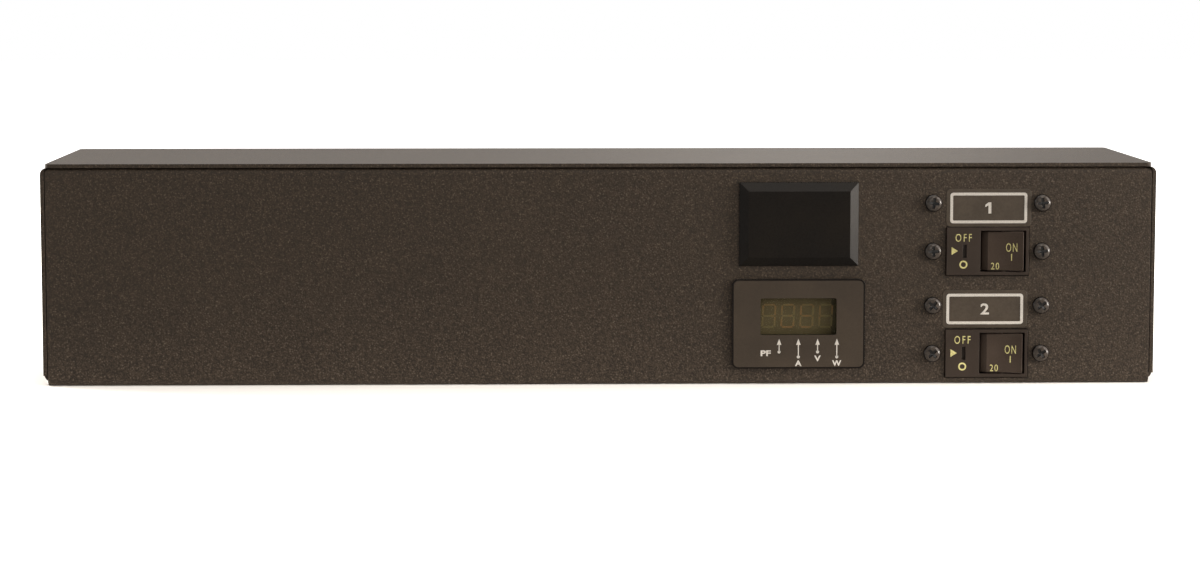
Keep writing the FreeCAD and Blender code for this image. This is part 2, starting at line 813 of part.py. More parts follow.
def make_meter_pane():
    x, z = window_centre()
    size = [side + 2 * meter_pane_margin for side in meter_window]
    y = (front_y - meter_pane_thickness, front_y)
    return block(around(x, size[0]), y, around(z, size[1]))


def make_meter_display():
    """Display block between pane and board."""
    x, z = window_centre()
    y = (front_y - meter_tub_depth, front_y - meter_pane_thickness - meter_display_gap)
    return block(around(x, meter_window[0]), y, around(z, meter_window[1]))


def make_meter_board():
    back_y = front_y - meter_tub_depth
    y = (back_y - meter_board_thickness, back_y)
    return block(around(meter_x, meter_tub[0]), y, around(meter_z, meter_tub[1]))


def make_meter_case():
    """Rear cup that closes the meter behind its board."""
    front = front_y - meter_tub_depth - meter_board_thickness
    y = (front - meter_case_depth, front)
    cup = block(around(meter_x, meter_tub[0]), y, around(meter_z, meter_tub[1]))
    hollow = block(around(meter_x, meter_tub[0] - 2 * meter_tub_wall), (y[0] + meter_tub_wall, y[1]),
                   around(meter_z, meter_tub[1] - 2 * meter_tub_wall))
    return cup.cut(hollow)


def make_blank_cover():
    """Bevelled moulded cover, hollow behind, with a tub that snaps into the spare cut-out."""
    rim_y = front_y + blank_edge
    top_y = front_y + blank_stand

    def outline(size, y):
        x = around(meter_x, size[0])
        z = around(blank_z, size[1])
        corners = [(x[0], z[0]), (x[1], z[0]), (x[1], z[1]), (x[0], z[1]), (x[0], z[0])]
        return Part.makePolygon([Vector(u, y, v) for u, v in corners])

    top = [side - 2 * blank_bevel for side in blank_plate]
    slopes = Part.makeLoft([outline(blank_plate, rim_y), outline(top, top_y)], True, True)
    rim = block(around(meter_x, blank_plate[0]), (front_y, rim_y), around(blank_z, blank_plate[1]))
    back_y = front_y - blank_tub_depth
    tub = block(around(meter_x, blank_tub[0]), (back_y, front_y), around(blank_z, blank_tub[1]))
    hollow = block(around(meter_x, blank_tub[0] - 2 * blank_wall), (back_y, top_y - blank_wall),
                   around(blank_z, blank_tub[1] - 2 * blank_wall))
    return joined(rim, slopes, tub).cut(hollow)


# Breakers

def breaker_screw_places():
    """X and Z of the four panel screws of each breaker, two for each pole."""
    places = []
    for pole_z in rocker_pole_z.values():
        for z in (pole_z, pole_z + pole_pitch):
            for x in around(breaker_x, breaker_screw_span):
                places.append((x, z))
    return places


def make_pole(z):
    """One pole's moulded case behind the panel, its back edges chamfered, with its screw holes."""
    case = block(around(breaker_x, case_length), (case_back_y, front_inner_y), around(z, pole_width))
    back = [e for e in case.Edges if e.BoundBox.ZLength > pole_width / 2
            and abs(e.BoundBox.Center.y - case_back_y) < fit_gap]
    case = case.makeChamfer(case_chamfer, back)
    holes = []
    for x in around(breaker_x, breaker_screw_span):
        end_y = front_inner_y - breaker_screw_depth
        holes.append(rod(panel_thread_radius + fit_gap, (x, end_y, z), (x, front_inner_y, z)))
    return case.cut(group(holes))


def make_breaker_case(number):
    """The rocker's pole: its collar comes through the panel round the rocker's well."""
    z = rocker_pole_z[number]
    frame = block(around(breaker_x, collar[0]), (front_inner_y, collar_face_y), around(z, collar[1]))
    well_y = (collar_face_y - rocker_well_depth, collar_face_y)
    well = block(around(rocker_x, rocker_length + 2 * rocker_end_gap), well_y,
                 around(z, rocker_height + 2 * rocker_side_gap))
    slot_x = breaker_x + indicator_offset
    slot = block(around(slot_x, indicator_slot[0]), (collar_face_y - indicator_depth, collar_face_y),
                 around(z, indicator_slot[1]))
    reach = rocker_height / 2 + trunnion_length + trunnion_gap
    bearing = rod(trunnion_radius + trunnion_gap, (rocker_x, pivot_y, z - reach),
                  (rocker_x, pivot_y, z + reach))
    return joined(make_pole(z), frame).cut(group([well, slot, bearing]))


def make_breaker_rocker(number):
    """Rocker with a finger hollow, a bevelled OFF end and trunnions, turned about its pivot to OFF."""
    z = rocker_pole_z[number]
    half = rocker_length / 2
    foot = half - rocker_end_lean
    lug = rocker_lug[0] / 2
    bevel_start = half - rocker_bevel[0]

    def at(along, out):
        return Vector(rocker_x + along, pivot_y + out, z - rocker_height / 2)

    below = [
        (bevel_start, rocker_rise),
        (half, rocker_rise - rocker_bevel[1]),
        (foot, -rocker_depth),
        (lug, -rocker_depth),
        (lug, -rocker_depth - rocker_lug[1]),
        (-lug, -rocker_depth - rocker_lug[1]),
        (-lug, -rocker_depth),
        (-foot, -rocker_depth),
        (-half, rocker_rise),
    ]
    edges = [Part.LineSegment(at(*a), at(*b)).toShape() for a, b in zip(below, below[1:])]
    middle = (bevel_start - half) / 2
    hollow = Part.Arc(at(-half, rocker_rise), at(middle, rocker_rise - rocker_hollow),
                      at(bevel_start, rocker_rise))
    face = Part.Face(Part.Wire(edges + [hollow.toShape()]))
    paddle = face.extrude(Vector(0, 0, rocker_height))
    reach = rocker_height / 2 + trunnion_length
    pins = rod(trunnion_radius, (rocker_x, pivot_y, z - reach), (rocker_x, pivot_y, z + reach))
    rocker = joined(paddle, pins)
    rocker.rotate(Vector(rocker_x, pivot_y, z), Vector(0, 0, 1), -rocker_tilt)
    return rocker


def load_tab_x():
    """The load tabs stand just short of the first outlet's branch, which the leads have to pass."""
    first_tap_x = min(tab_place(0, name)[0] for name in ("short", "long"))
    return first_tap_x - lead_radius - 2 * lead_gap - tab_thickness / 2


def make_breaker_terminals():
    """Line and load tabs on the back of every pole. The line tabs of a breaker's two poles are staggered."""
    tabs = []
    for rocker_z in rocker_pole_z.values():
        for pole in (0, 1):
            z = rocker_z + pole * pole_pitch
            for x in (line_bar_x(pole), load_tab_x()):
                tabs.append(block(around(x, tab_thickness), (breaker_tab_tip_y, case_back_y),
                                  around(z, tab_width)))
    return group(tabs)


def make_line_bars():
    """Two flat copper bars on the line tabs: one for the rocker poles, one for the second poles."""
    bars = []
    y = (breaker_tab_tip_y - line_bar_thickness, breaker_tab_tip_y)
    for pole in (0, 1):
        low = min(rocker_pole_z.values()) + pole * pole_pitch - line_bar_overlap
        high = max(rocker_pole_z.values()) + pole * pole_pitch + line_bar_overlap
        bars.append(block(around(line_bar_x(pole), line_bar_width), y, (low, high)))
    return group(bars)


def make_breaker_screws():
    head = (breaker_head_radius, breaker_head_height)
    length = sheet + breaker_screw_depth - contact_thickness
    return group([pan_screw(x, z, front_y, 1, head, length) for x, z in breaker_screw_places()])


# Earth stud and leads

def earth_stud_place():
    """Foot of the stud, on the inner side of the wall by the gland, level with the middle of the box."""
    return -half_width + sheet, lead_y - stud_radius - lead_radius - lead_gap, mid_height


def make_earth_stud():
    x, y, z = earth_stud_place()
    return rod(stud_radius, (x, y, z), (x + stud_length, y, z))


def make_earth_nut():
    x, y, z = earth_stud_place()
    nut = hexagon(stud_nut_flats, (0, 0), (0, stud_nut_height))
    nut.rotate(Vector(0, 0, 0), Vector(0, 0, 1), -90)
    nut.translate(Vector(x + stud_nut_gap, y, z))
    bore = rod(stud_radius + fit_gap, (x, y, z), (x + stud_length, y, z))
    return nut.cut(bore)


def tapped_lead(start_x, z, taps):
    """A lead along X behind the breakers, with a branch that ends just short of each tap (x, y, z)."""
    overrun = lead_radius + lead_gap
    first_x = min([start_x] + [x - overrun for x, _, _ in taps])
    last_x = max(x for x, _, _ in taps) + overrun
    lead = rod(lead_radius, (first_x, lead_y, z), (last_x, lead_y, z))
    branches = []
    for tap_x, tap_y, tap_z in taps:
        lean = math.atan2(tap_z - z, lead_y - tap_y)
        end_y = tap_y + lead_radius * abs(math.sin(lean))
        branches.append(rod(lead_radius, (tap_x, lead_y, z), (tap_x, end_y, tap_z)))
    return joined(lead, *branches)


def outlet_taps(row, name):
    """Where leads meet the tabs of one kind of contact, for every outlet of a row."""
    taps = []
    for index in range(outlet_count):
        if ROWS_LOW_FIRST[index % 2] == row:
            x, z = tab_place(index, name)
            taps.append((x, tab_tip_y + lead_gap, z))
    return taps


def make_circuit_leads(number):
    """Circuit 1 feeds the upper row and circuit 2 the lower row, with one lead for each pole."""
    row = 2 - number
    names = ("short", "long") if row else ("long", "short")
    start_x = load_tab_x() + tab_thickness / 2 + lead_gap
    leads = []
    for pole, name in enumerate(names):
        z = rocker_pole_z[number] + pole * pole_pitch
        leads.append(tapped_lead(start_x, z, outlet_taps(row, name)))
    return group(leads)


def make_earth_leads():
    """One lead from the stud past all outlets, with a branch to each earth contact."""
    x, y, z = earth_stud_place()
    start_x = x + stud_nut_gap + stud_nut_height + lead_gap
    return tapped_lead(start_x, z, outlet_taps(0, "hook") + outlet_taps(1, "hook"))


def make_nodes():
    """Every piece by its node name."""
    nodes = {
        "chassis_wrap": make_chassis_wrap(),
        "front_base_panel": make_front_base_panel(),
        "top_cover": make_top_cover(),
        "base_screws": group([flush_screw(x, y, 0.0) for x, y in base_screw_places()]),
        "outlet_screws": make_outlet_screws(),
        "entry_plug": make_entry_plug(),
        "gland_body": make_gland_body(),
        "gland_dome_nut": make_gland_dome_nut(),
        "gland_seal": make_gland_seal(),
        "gland_locknut": make_gland_locknut(),
        "cable_jacket": make_cable_jacket(),
        "conductor_cores": group([make_core(colour) for colour in conductor_angles]),
        "meter_bezel": make_meter_bezel(),
        "meter_pane": make_meter_pane(),
        "meter_display": make_meter_display(),
        "meter_board": make_meter_board(),
        "meter_case": make_meter_case(),
        "blank_cover": make_blank_cover(),
        "breaker_screws": make_breaker_screws(),
        "breaker_terminals": make_breaker_terminals(),
        "line_bars": make_line_bars(),
        "earth_stud": make_earth_stud(),
        "earth_nut": make_earth_nut(),
        "earth_leads": make_earth_leads(),
    }
    for colour in conductor_angles:
        nodes[f"conductor_{colour}"] = make_conductor(colour)
    for index in range(outlet_count):
        nodes[f"outlet_{index + 1}_face"] = make_outlet_face(index)
        nodes[f"outlet_{index + 1}_strap"] = make_outlet_strap(index)
        nodes[f"outlet_{index + 1}_body"] = make_outlet_body(index)
        nodes[f"outlet_{index + 1}_contacts"] = make_outlet_contacts(index)
    for number in rocker_pole_z:
        nodes[f"breaker_{number}_case"] = make_breaker_case(number)
        nodes[f"breaker_{number}_second_pole"] = make_pole(rocker_pole_z[number] + pole_pitch)
        nodes[f"breaker_{number}_rocker"] = make_breaker_rocker(number)
        nodes[f"circuit_{number}_leads"] = make_circuit_leads(number)
    return nodes


os.makedirs("parts", exist_ok=True)
for name, shape in make_nodes().items():
    shape.exportStep(f"parts/{name}.step")
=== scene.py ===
import json
import math

import bmesh
import bpy
import numpy as np
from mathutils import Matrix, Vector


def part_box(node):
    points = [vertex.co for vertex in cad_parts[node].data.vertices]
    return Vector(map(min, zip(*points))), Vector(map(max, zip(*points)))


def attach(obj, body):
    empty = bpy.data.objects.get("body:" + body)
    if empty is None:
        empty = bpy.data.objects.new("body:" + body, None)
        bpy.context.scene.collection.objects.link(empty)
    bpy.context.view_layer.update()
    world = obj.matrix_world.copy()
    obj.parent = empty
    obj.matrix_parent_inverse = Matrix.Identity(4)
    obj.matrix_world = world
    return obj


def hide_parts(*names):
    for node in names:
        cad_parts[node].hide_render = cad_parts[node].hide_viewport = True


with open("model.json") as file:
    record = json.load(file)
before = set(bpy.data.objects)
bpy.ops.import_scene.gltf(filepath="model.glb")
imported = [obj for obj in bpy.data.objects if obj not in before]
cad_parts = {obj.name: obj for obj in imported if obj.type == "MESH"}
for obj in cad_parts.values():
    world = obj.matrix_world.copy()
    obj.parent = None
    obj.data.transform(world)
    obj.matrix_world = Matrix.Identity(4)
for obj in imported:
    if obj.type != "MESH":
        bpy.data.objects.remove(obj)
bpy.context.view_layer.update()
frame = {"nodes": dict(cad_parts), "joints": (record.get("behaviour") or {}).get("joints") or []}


# Folded box: chassis wrap with the outlet panel, breaker panel with the base, and lid. Steel sheet with a
# baked powder coat of fine sand texture. The lid is welded to the flanges and the base is screwed on.

class Value:
    """A node's output. Arithmetic on it adds Math nodes, so that shader maths reads as Python."""

    def __init__(self, tree, socket):
        self.tree = tree
        self.socket = socket

    def node(self, kind, settings, sockets, output=0):
        """Adds a node with its settings, and with values or links for its sockets."""
        made = self.tree.nodes.new(kind)
        for name, setting in settings.items():
            setattr(made, name, setting)
        self.feed(made, sockets)
        return Value(self.tree, made.outputs[output])

    def feed(self, node, sockets):
        for name, value in sockets.items():
            if isinstance(value, Value):
                self.tree.links.new(value.socket, node.inputs[name])
            else:
                node.inputs[name].default_value = value

    def shade(self, sockets):
        """Feeds the material's own shader."""
        self.feed(self.tree.nodes["Principled BSDF"], sockets)

    def maths(self, operation, first, second):
        return self.node("ShaderNodeMath", {"operation": operation}, {0: first, 1: second})

    def __add__(self, other):
        return self.maths("ADD", self, other)

    def __radd__(self, other):
        return self.maths("ADD", other, self)

    def __sub__(self, other):
        return self.maths("SUBTRACT", self, other)

    def __rsub__(self, other):
        return self.maths("SUBTRACT", other, self)

    def __mul__(self, other):
        return self.maths("MULTIPLY", self, other)

    def __abs__(self):
        return self.maths("ABSOLUTE", self, 0.0)

    def step(self, low, high):
        """A smooth rise from 0 at low to 1 at high, or the other way round if low is above high."""
        return self.node("ShaderNodeMapRange", {"interpolation_type": "SMOOTHSTEP"},
                         {"Value": self, "From Min": low, "From Max": high})

    def mix(self, first, second):
        """Colour first where this value is 0, second where it is 1."""
        return self.node("ShaderNodeMix", {"data_type": "RGBA"}, {0: self, 6: first, 7: second}, 2)

    def noise(self, size, detail=2.0):
        """Soft random blotches, about one size across."""
        return self.node("ShaderNodeTexNoise", {}, {"Vector": self, "Scale": 1 / size, "Detail": detail})

    def axis(self, name):
        """One coordinate of these."""
        return self.node("ShaderNodeSeparateXYZ", {}, {"Vector": self}, name)

    def distance(self, point):
        """How far these coordinates are from a point."""
        return self.node("ShaderNodeVectorMath", {"operation": "DISTANCE"}, {0: self, 1: point}, "Value")

    def relief(self, height, depth, edge):
        """A normal bent by a height from 0 to 1 that stands for a real depth, over edges rounded by edge."""
        soft_edge = self.node("ShaderNodeBevel", {"samples": 4}, {"Radius": edge})
        return self.node("ShaderNodeBump", {}, {"Height": height, "Distance": depth, "Strength": 1.0,
                                                "Normal": soft_edge})


def paint(red, green, blue):
    """A colour as it looks on screen, 0 to 255, as the linear colour that shaders take."""
    shown = np.array([red, green, blue]) / 255
    linear = np.where(shown <= 0.04045, shown / 12.92, ((shown + 0.055) / 1.055) ** 2.4)
    return (*linear.tolist(), 1.0)


def new_finish(name):
    """An empty material and its Object coordinates."""
    material = bpy.data.materials.new(name)
    material.use_nodes = True
    tree = material.node_tree
    place = Value(tree, tree.nodes.new("ShaderNodeTexCoord").outputs["Object"])
    return material, place


def dress(material, *nodes):
    """Gives CAD nodes that keep their own shape a finish."""
    for node in nodes:
        mesh = frame["nodes"][node].data
        mesh.materials.clear()
        mesh.materials.append(material)


wrap_low, wrap_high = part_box("chassis_wrap")
half_width = wrap_high.x
half_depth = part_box("front_base_panel")[1].y
grain_size, grit_size, cloud_size, grain_depth = 0.0006, 0.0014, 0.045, 0.00020
# The middle of these three colours is the painted glint on the coat's grains.
coat_light, painted_glint, bare_steel = paint(57, 48, 39), paint(104, 94, 83), paint(196, 172, 140)
chipped_corner = (half_width, -half_depth, wrap_low.z)
chip_rim, chip_heart, chip_ripple = 0.0027, 0.0021, 0.0012


def sand_coat(name, dark, sparkle):
    """Textured powder coat: dark and light grains, painted glints on some of them, and a chip on one corner.
    """
    material, place = new_finish(name)
    sand = place.noise(grain_size, 1.0)
    grit = place.noise(grit_size, 1.0)
    cloud = place.noise(cloud_size)
    tone = sand.step(0.34, 0.7) * 0.65 + grit.step(0.3, 0.7) * 0.2 + cloud * 0.25
    coat = tone.mix(dark, coat_light)
    # Painted glints: some grains, picked by the noise, take a paler colour that stands for light caught on
    # their tips.
    glint = sand.step(0.64, 0.74) * sparkle
    coat = glint.mix(coat, painted_glint)
    chip = (place.distance(chipped_corner) + place.noise(chip_ripple) * 0.0014).step(chip_rim, chip_heart)
    place.shade({
        "Base Color": chip.mix(coat, bare_steel),
        "Roughness": 0.52 + sand * 0.2,
        "Metallic": chip * 0.6,
        "Specular IOR Level": 0.16,
        "Normal": place.relief(sand * 0.7 + grit * 0.3, grain_depth, 0.0005),
    })
    return material


powder_coat = sand_coat("powder_coat", paint(22, 17, 12), 0.4)
dress(powder_coat, "chassis_wrap", "front_base_panel", "top_cover")


# Base screws: four countersunk cross-recess screws of blackened steel, cold-headed. They go up through the
# base into the side walls' flanges and lie flush in the underside.

def grid_quads(rows, columns, wrap_rows=False, wrap_columns=False):
    """Corner numbers of a grid's cells, points counted row by row. A wrapped direction closes on itself."""
    row = np.arange(rows if wrap_rows else rows - 1)[:, None]
    column = np.arange(columns if wrap_columns else columns - 1)[None, :]
    next_row = (row + 1) % rows
    next_column = (column + 1) % columns
    corners = [row * columns + column, row * columns + next_column,
               next_row * columns + next_column, next_row * columns + column]
    return np.stack(corners, -1).reshape(-1, 4)


def new_object(name, data):
    """A new object in the scene."""
    made = bpy.data.objects.new(name, data)
    bpy.context.scene.collection.objects.link(made)
    return made


def add_piece(name, points, faces, material, body="housing", sheet=False, crease=38):
    """A new piece that rides on a body. A closed form gets its doubles merged and its faces turned outwards;
    a sheet, such as a print, keeps its faces as they are. Edges bent by over crease degrees stay sharp."""
    mesh = bpy.data.meshes.new(name)
    mesh.from_pydata(np.asarray(points).tolist(), [], [list(face) for face in faces])
    if not sheet:
        form = bmesh.new()
        form.from_mesh(mesh)
        bmesh.ops.remove_doubles(form, verts=form.verts, dist=1e-7)
        bmesh.ops.recalc_face_normals(form, faces=form.faces)
        form.to_mesh(mesh)
        form.free()
    mesh.shade_smooth()
    mesh.set_sharp_from_angle(angle=math.radians(crease))
    mesh.materials.append(material)
    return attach(new_object(name, mesh), body)


def cross_screw(radius, rim, cap, shank, length, recess):
    """A screw with its head's seat at height 0. Its top is a square grid pulled into a disc,
    (u sqrt(1 - v^2 / 2), v sqrt(1 - u^2 / 2)), raised to rim + cap (1 - r^4), less a cross that gets deeper
    towards the middle. The grid's outer loop is carried down the rim, in to the shank and to its end."""
    arm, reach, depth = recess
    half = np.array([0, arm * 0.6, arm, arm + 0.03, 0.34, reach, reach + 0.05, 0.74, 0.82, 0.89, 0.95, 1.0])
    level = np.concatenate([-half[:0:-1], half])
    u, v = np.meshgrid(level, level)
    x = u * np.sqrt(1 - v ** 2 / 2)
    y = v * np.sqrt(1 - u ** 2 / 2)
    longer = np.maximum(abs(u), abs(v))
    shorter = np.minimum(abs(u), abs(v))
    cross = (shorter <= arm + 0.001) & (longer <= reach + 0.001)
    top = rim + cap * (1 - (x ** 2 + y ** 2) ** 2) - cross * depth * (1 - 0.55 * longer / reach)
    head = np.stack([x * radius, y * radius, top], -1)
    count = len(level)
    edge = np.concatenate([head[0, :-1], head[:-1, -1], head[-1, :0:-1], head[:0:-1, 0]])
    flat = edge[:, :2] / radius
    loops = [np.column_stack([flat * r, np.full(len(flat), h)])
             for r, h in ((radius, rim), (radius, 0.0), (shank, 0.0), (shank, -length), (0.0, -length))]
    points = np.concatenate([head.reshape(-1, 3), *loops])
    skirt = grid_quads(len(loops), len(flat), wrap_columns=True) + count * count
    return points, np.concatenate([grid_quads(count, count), skirt])


def set_screws(name, form, places, axes, turns, material):
    """One mesh of like screws: each is turned about its own axis, then set with its head along the last of
    the three axes."""
    points, faces = form
    cos, sin = np.cos(turns)[:, None], np.sin(turns)[:, None]
    x, y, z = points.T
    heights = np.broadcast_to(z, (len(turns), len(z)))
    turned_points = np.stack([x * cos - y * sin, x * sin + y * cos, heights], -1)
    set_points = turned_points @ np.array(axes, float) + np.array(places)[:, None]
    offsets = np.arange(len(places))[:, None, None] * len(points)
    return add_piece(name, set_points.reshape(-1, 3), (faces[None] + offsets).reshape(-1, 4), material)


# Heights over the panel at which the painted shade on screw heads starts and is full.
shade_edge, shade_full = 0.0017, 0.0012


def screw_finish(name, colour, worn, painted_shade, roughness, metallic, mirror):
    """Plated or blackened steel between a dull and a polished tone. Painted shade darkens the head low down,
    in the cross and round the rim: it starts at shade_edge over the panel and is full at shade_full."""
    material, place = new_finish(name)
    wear = place.noise(0.0008, 3.0)
    height = abs(place.axis("Y")) - half_depth
    head = wear.step(0.35, 0.7).mix(colour, worn)
    place.shade({
        # Painted shade: the head darkens low down, in the cross and round the rim, towards the panel.
        "Base Color": height.step(shade_edge, shade_full).mix(head, painted_shade),
        "Metallic": metallic,
        "Roughness": roughness + wear * 0.18,
        "Specular IOR Level": mirror,
        "Normal": place.relief(wear, 0.000005, 0.00006),
    })
    return material


# The third colour is the painted shade low on the heads.
black_steel_and_shade = screw_finish("blackened_screw", paint(44, 38, 33), paint(58, 51, 45), paint(9, 7, 6),
                           roughness=0.14, metallic=0.0, mirror=0.2)
base_inset, base_y, base_sunk = 0.008, 0.026, 0.00002
base_x = half_width - base_inset
base_spots = [(x, y, base_sunk) for x in (-base_x, base_x) for y in (-base_y, base_y)]
base_turns = np.array([0.3, 1.1, 0.7, 0.1])
downward = [(1, 0, 0), (0, -1, 0), (0, 0, -1)]
flush_form = cross_screw(radius=0.0027, rim=0.0, cap=0.0, shank=0.0015, length=0.007,
                         recess=(0.14, 0.52, 0.0011))
base_screws = set_screws("base_screw_set", flush_form, base_spots, downward, base_turns, black_steel_and_shade)
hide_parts("base_screws")


# Plug of the spare cable hole: a pressed steel cap whose skirt snaps into the hole. It has the box's sand
# coat, but was coated apart from it, so it is a little darker and more of its grains carry painted glints.

def spun(radius, y, angle, centre):
    """Rings of points about the line along Y through centre (x, z): (x + r cos a, y, z + r sin a)."""
    x = centre[0] + radius * np.cos(angle)
    z = centre[1] + radius * np.sin(angle)
    return np.stack([x, np.broadcast_to(y, x.shape), z], -1).reshape(-1, 3)


def turned(profile, centre, steps=96, closed=True):
    """A profile of (radius, y) points spun about a centre. A closed profile's last point joins its first."""
    radius, y = np.array(profile).T[:, :, None]
    angle = np.linspace(0, 2 * np.pi, steps, endpoint=False)
    quads = grid_quads(len(radius), steps, wrap_rows=closed, wrap_columns=True)
    return spun(radius, y, angle, centre), quads


def arc(centre, radius, start, end, steps=7):
    """Points of an arc in a profile's (radius, y) plane, angles in degrees from the radius axis to +Y."""
    angle = np.radians(np.linspace(start, end, steps))
    return np.column_stack([centre[0] + radius * np.cos(angle), centre[1] + radius * np.sin(angle)]).tolist()


def middle_of(node):
    """X and Z of the middle of a node, for pieces that are turned about Y."""
    low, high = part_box(node)
    return (low.x + high.x) / 2, (low.z + high.z) / 2


plug_low, plug_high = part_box("entry_plug")
plug_radius = (plug_high.x - plug_low.x) / 2
plug_ledge, plug_wall, plug_round, plug_dish, plug_web = 0.0018, 0.0012, 0.0010, 0.0002, 0.0008
plug_skirt = plug_radius - plug_ledge
plug_profile = [
    (0.0, plug_low.y + plug_dish),
    (plug_radius * 0.7, plug_low.y + plug_dish),
    *arc((plug_radius - plug_round, plug_low.y + plug_round), plug_round, -90, 0),
    (plug_radius, -half_depth),
    (plug_skirt, -half_depth),
    (plug_skirt, plug_high.y),
    (plug_skirt - plug_wall, plug_high.y),
    (plug_skirt - plug_wall, -half_depth + plug_web),
    (0.0, -half_depth + plug_web),
]
plug_coat = sand_coat("plug_coat", paint(15, 11, 8), 0.9)
plug_form = turned(plug_profile, middle_of("entry_plug"), closed=False)
entry_plug = add_piece("entry_plug_cap", *plug_form, plug_coat)
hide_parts("entry_plug")


# Outlet faces: six twist-lock faces moulded in satin thermoset, each clamped against the panel by its strap.
# Three curved blade slots go through each face; the upper row is mounted upside down.

outlet_names = [f"outlet_{number}" for number in range(1, 7)]
slot_inner, slot_outer, foot_inner = 0.0096, 0.0125, 0.00745
slot_angles = {"short": (107, 151), "long": (222, 281), "hook": (345, 398)}
foot_angles = (345, 360)
rim_round, slot_depth, face_seat = 0.0008, 0.0045, 0.0015
flat_rings = [0.0, 0.004, foot_inner, slot_inner, slot_outer, 0.0155]


def outlet_face(centre, turn, low_y, high_y, radius):
    """A flat disc with a rounded rim on a polar grid whose lines follow the slots' edges. Cells in a slot
    are left out, and where a slot's cell meets one of the face a wall goes down through it."""
    ends = np.radians([a + turn for pair in (*slot_angles.values(), foot_angles) for a in pair])
    angle = np.unique(np.round(np.concatenate([np.linspace(0, 2 * np.pi, 96, endpoint=False),
                                               ends % (2 * np.pi)]), 5))
    bend = np.linspace(0, np.pi / 2, 7)
    r = np.concatenate([flat_rings, radius - rim_round + rim_round * np.sin(bend), [radius]])
    y = np.concatenate([np.full(len(flat_rings), low_y), low_y + rim_round * (1 - np.cos(bend)), [high_y]])
    top = spun(r[:, None], y[:, None], angle, centre)
    deep = spun(r[:, None], high_y + slot_depth, angle, centre)

    rings, spokes = len(r), len(angle)
    cell_r = (r[:-1] + r[1:])[:, None] / 2
    cell_a = (angle + ((np.roll(angle, -1) - angle) % (2 * np.pi)) / 2 - math.radians(turn)) % (2 * np.pi)

    def between(pair):
        return ((cell_a - math.radians(pair[0])) % (2 * np.pi)) < math.radians(pair[1] - pair[0])

    in_ring = (cell_r > slot_inner) & (cell_r < slot_outer)
    in_foot = (cell_r > foot_inner) & (cell_r < slot_outer) & between(foot_angles)
    opened = in_foot | (in_ring & np.any([between(pair) for pair in slot_angles.values()], axis=0))

    quads = grid_quads(rings, spokes, wrap_columns=True)[~opened.ravel()]
    below = rings * spokes
    ring, spoke = np.nonzero(opened != np.roll(opened, -1, axis=1))
    a = ring * spokes + (spoke + 1) % spokes
    b = (ring + 1) * spokes + (spoke + 1) % spokes
    side_walls = np.column_stack([a, b, b + below, a + below])
    ring, spoke = np.nonzero(opened[:-1] != opened[1:])
    a = (ring + 1) * spokes + spoke
    b = (ring + 1) * spokes + (spoke + 1) % spokes
    arc_walls = np.column_stack([a, b, b + below, a + below])
    faces = np.concatenate([quads, side_walls, arc_walls])
    used, faces = np.unique(faces, return_inverse=True)
    return np.concatenate([top, deep])[used], faces.reshape(-1, 4)


thermoset, place = new_finish("outlet_thermoset")
flow = place.noise(0.012, 4.0)
skin = place.noise(0.00035, 2.0)
place.shade({
    "Base Color": (flow * 0.7 + skin * 0.3).step(0.3, 0.75).mix(paint(33, 28, 23), paint(43, 37, 31)),
    "Roughness": 0.40 + flow * 0.12,
    "Specular IOR Level": 0.12,
    "Normal": place.relief(skin, 0.00003, 0.0003),
})
for number, name in enumerate(outlet_names):
    low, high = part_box(f"{name}_face")
    face_radius = (high.x - low.x) / 2
    face_turn = 180 * (number % 2)
    form = outlet_face(middle_of(f"{name}_face"), face_turn, low.y, -half_depth + face_seat, face_radius)
    face = add_piece(f"{name}_front", *form, thermoset)
    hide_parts(f"{name}_face")


# Outlet bodies, straps and contacts, behind the panel: thermoset bodies, steel straps that the screws pull
# against the panel, and stamped brass contacts with push-on tabs. The straps wear the dark screw finish as
# painted shade in the gap round each outlet face.

def metal_finish(name, dull, bright, roughness, streak):
    """Plain plated or rolled metal: cloudy colour, and a fine rolled grain across one axis."""
    material, place = new_finish(name)
    cloud = place.noise(0.006, 3.0)
    grain = place.node("ShaderNodeMapping", {}, {"Vector": place, "Scale": streak}).noise(0.0004)
    place.shade({
        "Base Color": (cloud * 0.7 + grain * 0.3).step(0.3, 0.7).mix(dull, bright),
        "Metallic": 1.0,
        "Roughness": roughness + grain * 0.2,
        "Normal": place.relief(grain, 0.00001, 0.0002),
    })
    return material


zinc = metal_finish("zinc_plate", paint(140, 142, 146), paint(186, 188, 190), 0.25, (1, 1, 0.1))
brass = metal_finish("stamped_brass", paint(150, 118, 60), paint(206, 172, 98), 0.22, (0.1, 1, 1))
copper = metal_finish("bare_copper", paint(150, 86, 58), paint(212, 138, 104), 0.25, (1, 1, 0.1))
for name in outlet_names:
    dress(thermoset, f"{name}_body")
    # Painted shade: the straps take the dark screw finish, so that they show as shade in the gap round each
    # face.
    dress(black_steel_and_shade, f"{name}_strap")
    dress(brass, f"{name}_contacts")


# Outlet screws: twelve cold-headed pan-head screws with a cross recess, through the panel into the straps.
# They are nickel-plated steel, apart from the last at the far end, which is a blackened replacement.

